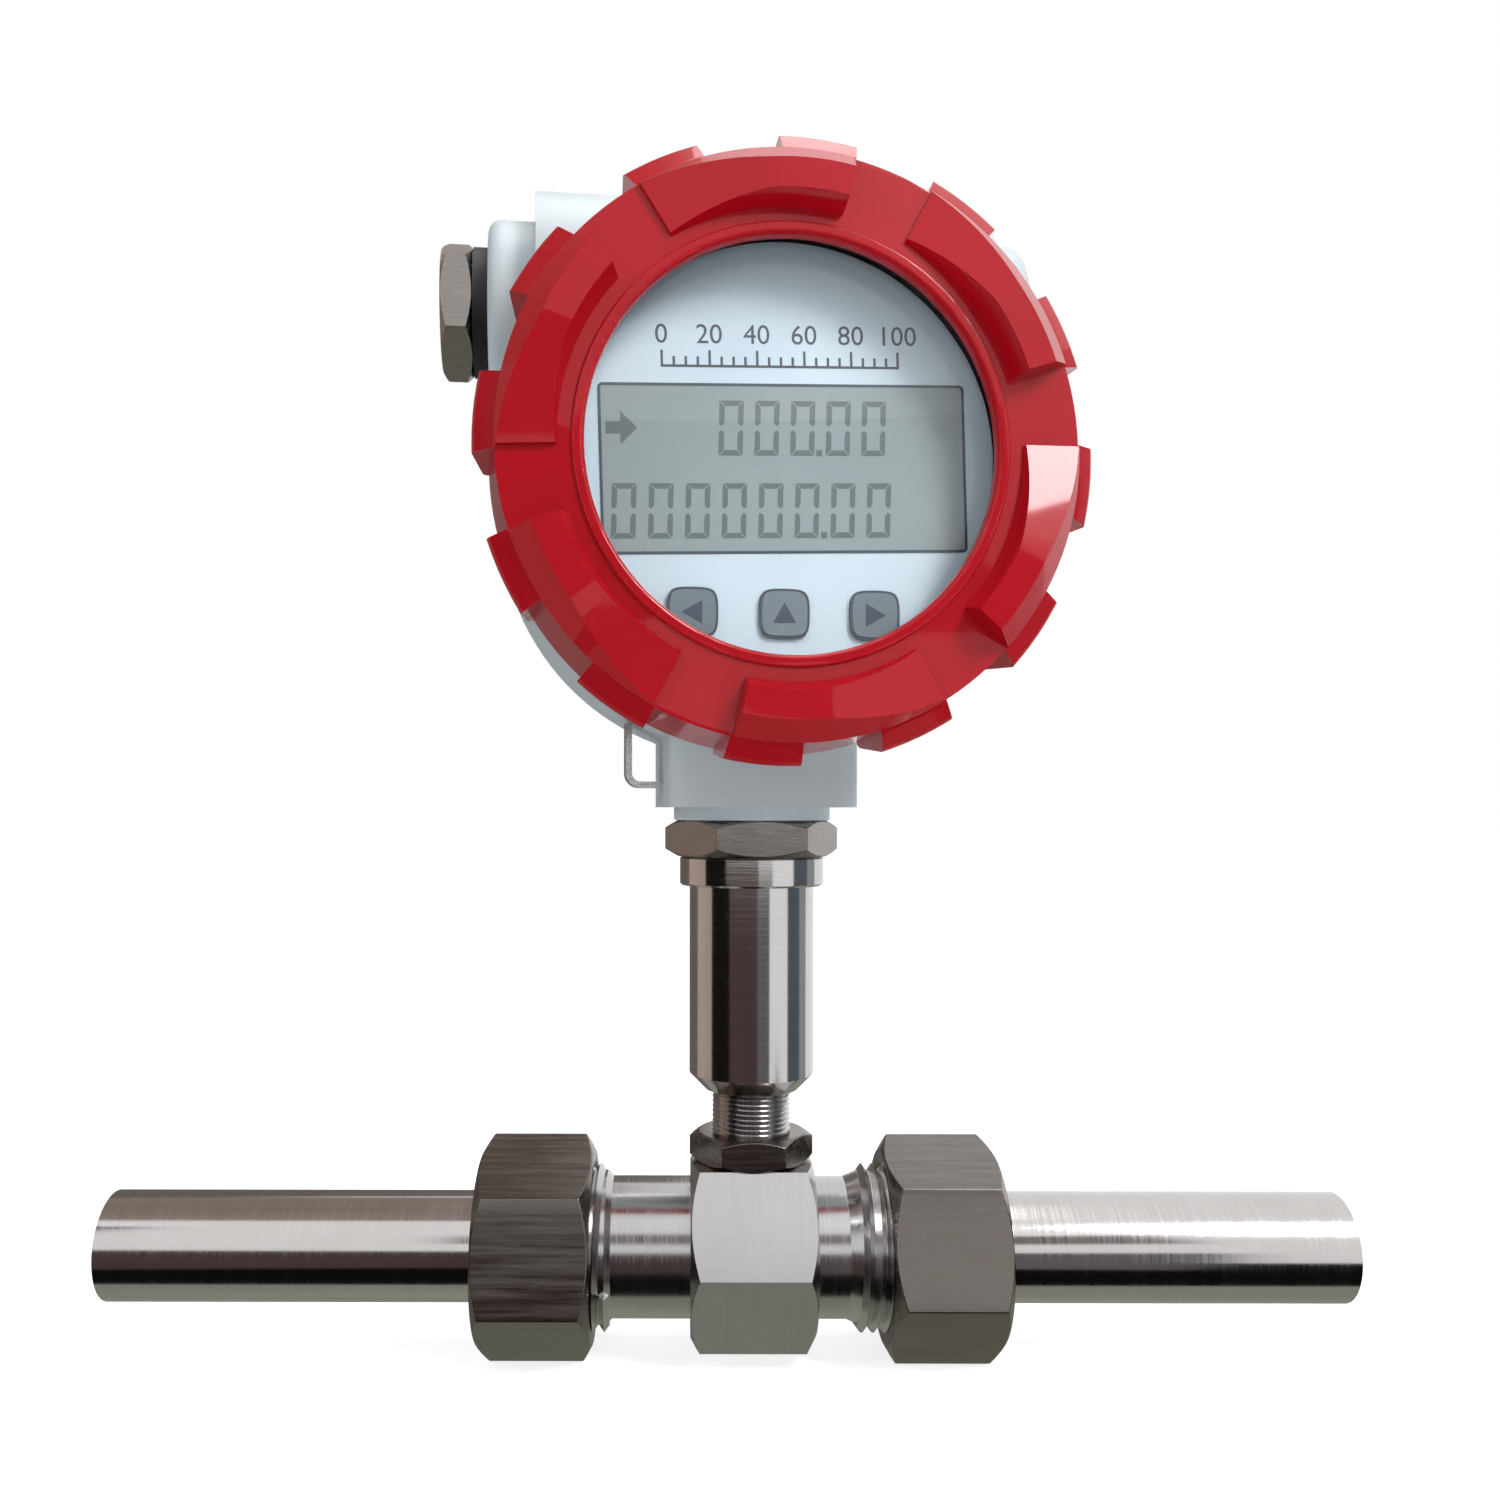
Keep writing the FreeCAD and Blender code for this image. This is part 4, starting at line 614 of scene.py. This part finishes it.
body_low, body_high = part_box("meter_body")
thread_along_x("inlet_pipe_thread", body_low[0] + PIPE_LEAD_IN, body_low[0] + INLET_RUN, "meter")
thread_along_x("outlet_pipe_thread", body_high[0] - OUTLET_RUN, body_high[0] - PIPE_LEAD_IN, "meter")
tube_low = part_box("stem_tube")[0][2]
lock_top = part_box("stem_lock_nut")[1][2]
ridge = thread("sleeve_thread", SLEEVE_ROOT, SLEEVE_MAJOR, SLEEVE_PITCH,
               tube_low - lock_top + 2 * SLEEVE_TUCK, Matrix.Translation((0, 0, lock_top - SLEEVE_TUCK)))
new_piece("sleeve_thread", ridge, turned_steel, "meter", ())
print("threads wound")

# %% [markdown]
# ## The lugged cover
# The cover is a casting with six lugs to grip, screwed on by hand. It keeps its solid's form. A merged copy
# lets flat faces become one, the edges are rounded as far as their neighbours leave room, and weighted
# normals keep the broad faces calm in the light. A wider round left dark slits beside the lugs.

# %% The cover, cleaned and eased
COVER_ROUND = 0.0011
MERGE = 2e-5
FLAT_WITHIN = 1.5


def make_cover():
    mesh = frame["nodes"]["front_cover"].data.copy()
    mesh.name = "cover_casting"
    made = bmesh.new()
    made.from_mesh(mesh)
    bmesh.ops.remove_doubles(made, verts=made.verts, dist=MERGE)
    bmesh.ops.dissolve_limit(made, angle_limit=math.radians(FLAT_WITHIN), verts=made.verts, edges=made.edges)
    made.to_mesh(mesh)
    made.free()
    return eased(mesh, COVER_ROUND, segments=4, angle=24)


cover = make_cover()
reach = [head_frame.inverted() @ vertex.co for vertex in cover.vertices]
print("cover reaches", round(1000 * max(math.hypot(v.x, v.y) for v in reach), 2),
      round(1000 * max(v.z for v in reach), 2), round(1000 * min(math.hypot(v.x, v.y) for v in reach), 2))
new_piece("cover_casting", cover, red_coat, "cover", ["front_cover"])
print("cover faces:", len(cover.polygons))

# %% [markdown]
# ## The display
# What the reader sees is print on film: a dark line round the screen, grey digits, a plain scale and three
# keys. Each mark is a thin plate, drawn in millimetres on the sheet and carried to the head by one matrix.

# %% Flat work on the sheet
screen_middle = (-0.05, -2.1)
sheet_place = (
    head_frame
    @ Matrix.Translation((screen_middle[0] / 1000, screen_middle[1] / 1000, 0))
    @ Matrix.Rotation(math.radians(1.7), 4, "Z")
    @ Matrix.Scale(0.001, 4)
)
PANEL_FACE = head_box("display_panel")[1].z * 1000


def box_line(width, height, radius, middle=(0, 0), steps=6):
    """Corner-rounded rectangle as a list of points."""
    points = []
    for corner, (sx, sy) in enumerate(((1, 1), (-1, 1), (-1, -1), (1, -1))):
        for step in range(steps + 1):
            angle = math.radians(90 * corner + 90 * step / steps)
            x = middle[0] + sx * (width / 2 - radius) + radius * math.cos(angle)
            y = middle[1] + sy * (height / 2 - radius) + radius * math.sin(angle)
            points.append((x, y))
    return points


def plates(name, outlines, low, high, place):
    """Raise every outline to a thin plate between two heights; all share one mesh."""
    made = bmesh.new()
    for outline in outlines:
        base = [made.verts.new((x, y, low)) for x, y in outline]
        top = [made.verts.new((x, y, high)) for x, y in outline]
        made.faces.new(list(reversed(base)))
        made.faces.new(top)
        count = len(outline)
        for i in range(count):
            j = (i + 1) % count
            made.faces.new((base[i], base[j], top[j], top[i]))
    bmesh.ops.recalc_face_normals(made, faces=made.faces)
    mesh = bpy.data.meshes.new(name)
    made.to_mesh(mesh)
    made.free()
    mesh.transform(place)
    return mesh


def line_plate(name, pairs, low, high, place):
    """Raise the band between each outer and inner outline, which have as many points."""
    made = bmesh.new()
    for outer, inner in pairs:
        rows = []
        for outline, level in ((outer, low), (outer, high), (inner, high), (inner, low)):
            rows.append([made.verts.new((x, y, level)) for x, y in outline])
        count = len(outer)
        for k in range(4):
            this, other = rows[k], rows[(k + 1) % 4]
            for i in range(count):
                j = (i + 1) % count
                made.faces.new((this[i], this[j], other[j], other[i]))
    bmesh.ops.recalc_face_normals(made, faces=made.faces)
    mesh = bpy.data.meshes.new(name)
    made.to_mesh(mesh)
    made.free()
    mesh.transform(place)
    return mesh


# %% [markdown]
# One printed film covers the panel. It could be a colour on the panel itself, but a thin disc of its own
# gives the print a real edge and lies under the screen and the keys as it does on the meter.


# %% The printed film that covers the panel
def round_line(radius, steps=96):
    return [(radius * math.cos(2 * math.pi * i / steps), radius * math.sin(2 * math.pi * i / steps))
            for i in range(steps)]


FILM = PANEL_FACE + 0.12
film_place = head_frame @ Matrix.Scale(0.001, 4)
film = plates("panel_sheet", [round_line(head_box("display_panel")[1].x * 1000 - 0.2)],
              PANEL_FACE, FILM, film_place)
new_piece("panel_sheet", film, panel_film, "head", ())

# %% [markdown]
# The screen is a grey film with a thin dark line round it. Both have rounded corners: the film is one
# outline raised to a plate, the line is the band between two outlines.

# %% Screen and its dark line
SCREEN = (66.2, 30.0)
screen = plates("screen_window", [box_line(*SCREEN, 0.8)], FILM, FILM + 0.05, sheet_place)
new_piece("screen_window", screen, screen_film, "head", ["lcd_panel"])
rim = line_plate(
    "screen_line",
    [(box_line(SCREEN[0] + 0.3, SCREEN[1] + 0.3, 0.95), box_line(SCREEN[0] - 0.7, SCREEN[1] - 0.7, 0.5))],
    FILM, FILM + 0.1, sheet_place,
)
new_piece("screen_line", rim, frame_ink, "head", ())


# %% [markdown]
# A digit on such a screen is built of strokes that never touch. A nought is the six outer ones, leaning a
# little to the right. All strokes share one mesh, because they are one print.


# %% Digits made of strokes
def zero_strokes(middle, width=4.4, height=9.8, stroke=1.0, gap=0.1, lean=0.05):
    """The six strokes of a nought, leaning a little to the right."""
    w, h, t = width / 2, height / 2, stroke
    strokes = [
        [(-w + gap, h), (w - gap, h), (w - t - gap, h - t), (-w + t + gap, h - t)],
        [(-w + gap, -h), (-w + t + gap, -h + t), (w - t - gap, -h + t), (w - gap, -h)],
    ]
    for side in (-1, 1):
        for up in (-1, 1):
            strokes.append([
                (side * w, up * (h - gap)), (side * (w - t), up * (h - t - gap)),
                (side * (w - t), up * (0.5 + t / 2)), (side * (w - t / 2), up * 0.35), (side * w, up * 0.7),
            ])
    return [
        [(middle[0] + x + lean * y, middle[1] + y) for x, y in points]
        for points in strokes
    ]


def row_of_noughts(first, pitch, count, level):
    strokes = []
    for i in range(count):
        strokes += zero_strokes((first + i * pitch, level))
    return strokes


UPPER_ROW = {"first": -9.65, "pitch": 6.49, "count": 5, "level": 7.2}
LOWER_ROW = {"first": -29.2, "pitch": 6.58, "count": 8, "level": -7.5}
POINT_WIDTH = 1.15
POINTS = ((6.2, 2.8), (6.7, -11.9))
FLOW_ARROW = [
    (-32.0, 8.3), (-29.4, 8.3), (-29.4, 10.2), (-26.4, 7.2),
    (-29.4, 4.2), (-29.4, 6.1), (-32.0, 6.1),
]
marks = row_of_noughts(**UPPER_ROW) + row_of_noughts(**LOWER_ROW)
for spot in POINTS:
    marks.append(box_line(POINT_WIDTH, POINT_WIDTH, 0.2, spot))
marks.append(FLOW_ARROW)
digits = plates("screen_digits", marks, FILM + 0.05, FILM + 0.08, sheet_place)
new_piece("screen_digits", digits, segment_ink, "head", ())
print("digit strokes:", len(marks))


# %% [markdown]
# Text starts as a curve. It becomes a mesh before it is moved, so that its place is in the mesh and the
# object stays at the origin. Ticks and figures are then joined into one print.


# %% A plain scale above the screen
def text_mesh(words, size, middle, level, place, thick=0.03):
    curve = bpy.data.curves.new("words", "FONT")
    curve.body = words
    curve.size = size
    curve.align_x = "CENTER"
    curve.align_y = "CENTER"
    curve.extrude = thick / 2
    curve.resolution_u = 4
    blank = bpy.data.objects.new("blank", curve)
    bpy.context.scene.collection.objects.link(blank)
    tree = bpy.context.evaluated_depsgraph_get()
    mesh = bpy.data.meshes.new_from_object(blank.evaluated_get(tree))
    bpy.data.objects.remove(blank)
    mesh.transform(place @ Matrix.Translation((middle[0], middle[1], level + thick / 2)))
    return mesh


def joined(name, meshes):
    made = bmesh.new()
    for mesh in meshes:
        made.from_mesh(mesh)
    bmesh.ops.remove_doubles(made, verts=made.verts, dist=1e-7)
    bmesh.ops.recalc_face_normals(made, faces=made.faces)
    mesh = bpy.data.meshes.new(name)
    made.to_mesh(mesh)
    made.free()
    return mesh


SCALE_LEFT = -21.7
TICK_PITCH = 2.14
TICKS_EACH = 4
FIGURES = range(0, 101, 20)
ticks = [box_line(43.25, 0.45, 0.05, (-0.3, 18.2))]
for i in range(TICKS_EACH * (len(FIGURES) - 1) + 1):
    tall = 2.7 if i % TICKS_EACH == 0 else 1.6
    ticks.append(box_line(0.45, tall, 0.05, (SCALE_LEFT + TICK_PITCH * i, 18.3 + tall / 2)))
scale_parts = [plates("ticks", ticks, FILM, FILM + 0.03, sheet_place)]
for i, figure in enumerate(FIGURES):
    place = (SCALE_LEFT + TICK_PITCH * TICKS_EACH * i, 23.7)
    scale_parts.append(text_mesh(str(figure), 4.9, place, FILM, sheet_place))
new_piece("panel_scale", joined("panel_scale", scale_parts), print_ink, "head", ())
print("ticks on the scale:", len(ticks) - 1)

# %% [markdown]
# Each key is a soft cap with a plain sign, inside a raised dark line. The cap stops short of the film by the
# length of its stroke, so it can be pressed without cutting into the sheet, and the line hides the gap.

# %% Keys: a dark line round each and a plain sign on each cap
SIGNS = {
    "left_key": [(1.7, 2.1), (-2.0, 0.0), (1.7, -2.1)],
    "middle_key": [(-2.1, -1.7), (2.1, -1.7), (0.0, 2.0)],
    "right_key": [(-1.7, 2.1), (-1.7, -2.1), (2.0, 0.0)],
}


def pillow(half_wide, half_high, radius, steps=40):
    """A square whose corners are cut by a circle, softened where the two meet."""
    points = []
    for step in range(steps):
        angle = 2 * math.pi * step / steps
        to_side = half_wide / max(abs(math.cos(angle)), 1e-6)
        to_top = half_high / max(abs(math.sin(angle)), 1e-6)
        square = min(to_side, to_top)
        reach = (square ** -12 + radius ** -12) ** (-1 / 12)
        points.append((reach * math.cos(angle), reach * math.sin(angle)))
    return points


KEY_SHIFT = (-1.9, -1.8)
KEY_STROKE = 0.52
KEY_GAP = 0.03
CAP_REACH = 5.0
LINE_WIDTH = 0.45
for node, sign in SIGNS.items():
    low, high = head_box(node)
    middle = (low + high) * 500
    key_place = film_place @ Matrix.Translation((middle.x + KEY_SHIFT[0], middle.y + KEY_SHIFT[1], 0))
    half_wide = (high.x - low.x) * 500 - LINE_WIDTH
    half_tall = (high.y - low.y) * 500 - LINE_WIDTH
    face = high.z * 1000
    body = "key_" + node.split("_")[0]
    outline = pillow(half_wide, half_tall, CAP_REACH)
    cap_shape = plates(node + "_cap", [outline], FILM + KEY_STROKE, face, Matrix())
    cap_shape = eased(cap_shape, 0.1, 3)
    cap_shape.transform(key_place)
    new_piece(node + "_cap", cap_shape, key_rubber, body, [node])
    around = pillow(half_wide + LINE_WIDTH, half_tall + LINE_WIDTH, CAP_REACH + 0.5)
    within = pillow(half_wide + KEY_GAP, half_tall + KEY_GAP, CAP_REACH + KEY_GAP)
    line = line_plate(node + "_line", [(around, within)], FILM, FILM + KEY_STROKE + 0.1, key_place)
    new_piece(node + "_line", line, frame_ink, "head", ())
    mark = plates(node + "_sign", [sign], face - 0.02, face + 0.03, key_place)
    new_piece(node + "_sign", mark, frame_ink, body, ())
print("display dressed")

# %% [markdown]
# ## Camera, light and backdrop
# The view is wide and from close by, level with the stem, as someone standing at the bench has it.

# %% Camera
camera_data = bpy.data.cameras.new("camera")
camera = bpy.data.objects.new("camera", camera_data)
bpy.context.scene.collection.objects.link(camera)
bpy.context.scene.camera = camera
camera_data.sensor_width = 36
camera_data.lens = 31.2
camera_data.shift_x = 0.0432
camera_data.shift_y = 0.0391
camera_data.clip_start = 0.01
camera.location = (-0.0137, -0.268, 0.0901)
camera.rotation_euler = (math.radians(90), math.radians(-0.1), 0)
print("camera at", tuple(round(v, 3) for v in camera.location))


# %% [markdown]
# The world is white where the eye or a shiny surface looks at it, and softer where it only gives light. So
# the background stays clean while the shadows keep their depth.


# %% World: white to the eye and to shiny surfaces, softer for the light it gives
def make_world(soft_light):
    world = bpy.data.worlds.new("studio")
    bpy.context.scene.world = world
    world.use_nodes = True
    tree = world.node_tree
    tree.nodes.clear()
    out = put(tree, "ShaderNodeOutputWorld")
    ray = put(tree, "ShaderNodeLightPath")
    seen = put(tree, "ShaderNodeMath", operation="MAXIMUM")
    seen_or_through = put(tree, "ShaderNodeMath", operation="MAXIMUM")
    white = put(tree, "ShaderNodeBackground")
    white.inputs["Color"].default_value = (1, 1, 1, 1)
    white.inputs["Strength"].default_value = 1.0
    soft = put(tree, "ShaderNodeBackground")
    soft.inputs["Color"].default_value = (0.88, 0.94, 1.0, 1)
    soft.inputs["Strength"].default_value = soft_light
    mix = put(tree, "ShaderNodeMixShader")
    join(tree, ray.outputs["Is Camera Ray"], seen.inputs[0])
    join(tree, ray.outputs["Is Glossy Ray"], seen.inputs[1])
    join(tree, seen.outputs[0], seen_or_through.inputs[0])
    join(tree, ray.outputs["Is Transmission Ray"], seen_or_through.inputs[1])
    join(tree, seen_or_through.outputs[0], mix.inputs[0])
    join(tree, soft.outputs[0], mix.inputs[1])
    join(tree, white.outputs[0], mix.inputs[2])
    join(tree, mix.outputs[0], out.inputs["Surface"])
    return world


print("world:", make_world(0.4).name)

# %% [markdown]
# A lamp from the front right gives the form, a weaker one from the left fills it, and a broad one above
# lights the top of the casting. Large lamps are used, because they leave soft shadows.


# %% Lamps
def area_lamp(name, place, target, size, power):
    data = bpy.data.lights.new(name, "AREA")
    data.shape = "RECTANGLE"
    data.size = size[0]
    data.size_y = size[1]
    data.energy = power
    lamp = bpy.data.objects.new(name, data)
    bpy.context.scene.collection.objects.link(lamp)
    lamp.location = place
    direction = Vector(target) - Vector(place)
    lamp.rotation_euler = direction.to_track_quat("-Z", "Y").to_euler()
    return lamp


area_lamp("key_light", (0.5, -0.5, 0.7), (0, 0, 0.12), (0.22, 0.3), 5.0)
area_lamp("fill_light", (-0.65, -0.45, 0.5), (0, 0, 0.1), (0.12, 0.5), 1.2)
area_lamp("top_light", (0.05, 0.0, 0.95), (0, 0, 0.1), (0.6, 0.4), 3.0)
print("lamps:", len(bpy.data.lights))

# %% [markdown]
# Steel shows what stands round it. Curved cards, seen by reflections alone, give it the dark room, the
# bright window and the wall that a workshop has. The angle is counted from the camera's side, to the right.


# %% Cards for the steel to mirror
def card_finish(name, tone):
    finish = bpy.data.materials.new(name)
    finish.use_nodes = True
    tree = finish.node_tree
    tree.nodes.clear()
    out = put(tree, "ShaderNodeOutputMaterial")
    glow = put(tree, "ShaderNodeEmission", Strength=1.0)
    place = put(tree, "ShaderNodeTexCoord")
    cloud = put(tree, "ShaderNodeTexNoise", Scale=3.0, Detail=2.0)
    tones = put(tree, "ShaderNodeMix", data_type="RGBA")
    tones.inputs[6].default_value = (*[0.7 * v for v in tone], 1)
    tones.inputs[7].default_value = (*[1.3 * v for v in tone], 1)
    join(tree, place.outputs["Object"], cloud.inputs["Vector"])
    join(tree, cloud.outputs["Fac"], tones.inputs[0])
    join(tree, tones.outputs[2], glow.inputs["Color"])
    join(tree, glow.outputs[0], out.inputs["Surface"])
    return finish


def hang_card(name, mesh, tone):
    """Show a card to reflections alone."""
    mesh.materials.append(card_finish(name, tone))
    sheet = bpy.data.objects.new(name, mesh)
    bpy.context.scene.collection.objects.link(sheet)
    sheet.visible_camera = False
    sheet.visible_diffuse = False
    sheet.visible_transmission = False
    sheet.visible_shadow = False


def curved_card(name, start, end, low, high, tone, radius, steps=16):
    verts = []
    faces = []
    for step in range(steps + 1):
        angle = math.radians(start + (end - start) * step / steps)
        x = radius * math.sin(angle)
        y = -radius * math.cos(angle)
        verts += [(x, y, low), (x, y, high)]
    for step in range(steps):
        k = 2 * step
        faces.append((k, k + 2, k + 3, k + 1))
    mesh = bpy.data.meshes.new(name)
    mesh.from_pydata(verts, [], faces)
    hang_card(name, mesh, tone)


FAR = 0.6
NEAR = 0.35
CARDS = (
    ("left_dark", -80, -43, -0.5, 0.6, (0.01, 0.008, 0.008), FAR),
    ("front_warm", -43, 8, -0.3, 0.065, (0.085, 0.055, 0.055), FAR),
    ("front_grey", 8, 30, -0.3, 0.05, (0.16, 0.15, 0.16), FAR),
    ("low_dark", -90, 90, -1.3, -0.3, (0.006, 0.005, 0.005), FAR),
    ("right_blue", 66, 95, -0.5, 0.6, (0.1, 0.12, 0.14), FAR),
    ("right_grey", 95, 115, -0.3, 0.5, (0.33, 0.35, 0.38), FAR),
    ("left_warm", -120, -80, -0.5, 0.5, (0.5, 0.4, 0.34), FAR),
    ("back_left", -180, -120, -0.5, 0.5, (0.17, 0.15, 0.14), FAR),
    ("front_high", -20, 35, 0.13, 0.25, (0.2, 0.17, 0.17), NEAR),
)
for name, start, end, low, high, tone, radius in CARDS:
    curved_card(name, start, end, low, high, tone, radius)
print("cards:", len(CARDS))


# %% [markdown]
# The underside of a pipe mirrors the bench and its top mirrors the ceiling. Flat cards stand in for both.


# %% Flat cards below and above
def flat_card(name, west, east, near, far, level, tone):
    mesh = bpy.data.meshes.new(name)
    mesh.from_pydata(
        [(west, near, level), (east, near, level), (east, far, level), (west, far, level)],
        [], [(0, 1, 2, 3)],
    )
    hang_card(name, mesh, tone)


FLAT_CARDS = (
    ("under_olive", -1.5, 1.5, -0.17, 1.5, -0.4, (0.3, 0.31, 0.26)),
    ("under_front", -1.5, 1.5, -1.5, -0.17, -0.4, (0.006, 0.005, 0.005)),
    ("ceiling_left", -1.3, -0.08, -0.35, 0.9, 0.9, (0.3, 0.24, 0.21)),
)
for values in FLAT_CARDS:
    flat_card(*values)
print("flat cards:", len(FLAT_CARDS))


# %% [markdown]
# The floor is pale paper. Its own light lifts it to the white of the backdrop, and its matt surface still
# takes the shadow of the pipes. Shiny surfaces don't see it, so that the steel mirrors the cards instead.


# %% Floor that reads as white and keeps the shadow
def make_floor(far=6.0):
    lowest = cad_box[0][2]
    mesh = bpy.data.meshes.new("floor")
    mesh.from_pydata(
        [(-far, -far, lowest), (far, -far, lowest), (far, far, lowest), (-far, far, lowest)],
        [], [(0, 1, 2, 3)],
    )
    floor = bpy.data.objects.new("floor", mesh)
    bpy.context.scene.collection.objects.link(floor)
    finish = bpy.data.materials.new("floor_paper")
    finish.use_nodes = True
    tree = finish.node_tree
    tree.nodes.clear()
    out = put(tree, "ShaderNodeOutputMaterial")
    ray = put(tree, "ShaderNodeLightPath")
    place = put(tree, "ShaderNodeTexCoord")
    grain = put(tree, "ShaderNodeTexNoise", Scale=40.0, Detail=2.0)
    tones = put(tree, "ShaderNodeMix", data_type="RGBA")
    tones.inputs[6].default_value = (0.78, 0.78, 0.78, 1)
    tones.inputs[7].default_value = (0.82, 0.82, 0.82, 1)
    paper = put(tree, "ShaderNodeBsdfDiffuse")
    glow = put(tree, "ShaderNodeEmission", Strength=0.78)
    both = put(tree, "ShaderNodeAddShader")
    mix = put(tree, "ShaderNodeMixShader")
    join(tree, place.outputs["Object"], grain.inputs["Vector"])
    join(tree, grain.outputs["Fac"], tones.inputs[0])
    join(tree, tones.outputs[2], paper.inputs["Color"])
    join(tree, paper.outputs[0], both.inputs[0])
    join(tree, glow.outputs[0], both.inputs[1])
    join(tree, ray.outputs["Is Camera Ray"], mix.inputs[0])
    join(tree, paper.outputs[0], mix.inputs[1])
    join(tree, both.outputs[0], mix.inputs[2])
    join(tree, mix.outputs[0], out.inputs["Surface"])
    mesh.materials.append(finish)
    floor.visible_glossy = False
    return floor


floor = make_floor()
bpy.context.scene.view_settings.view_transform = "Standard"
print("floor at", round(floor.data.vertices[0].co.z, 4))
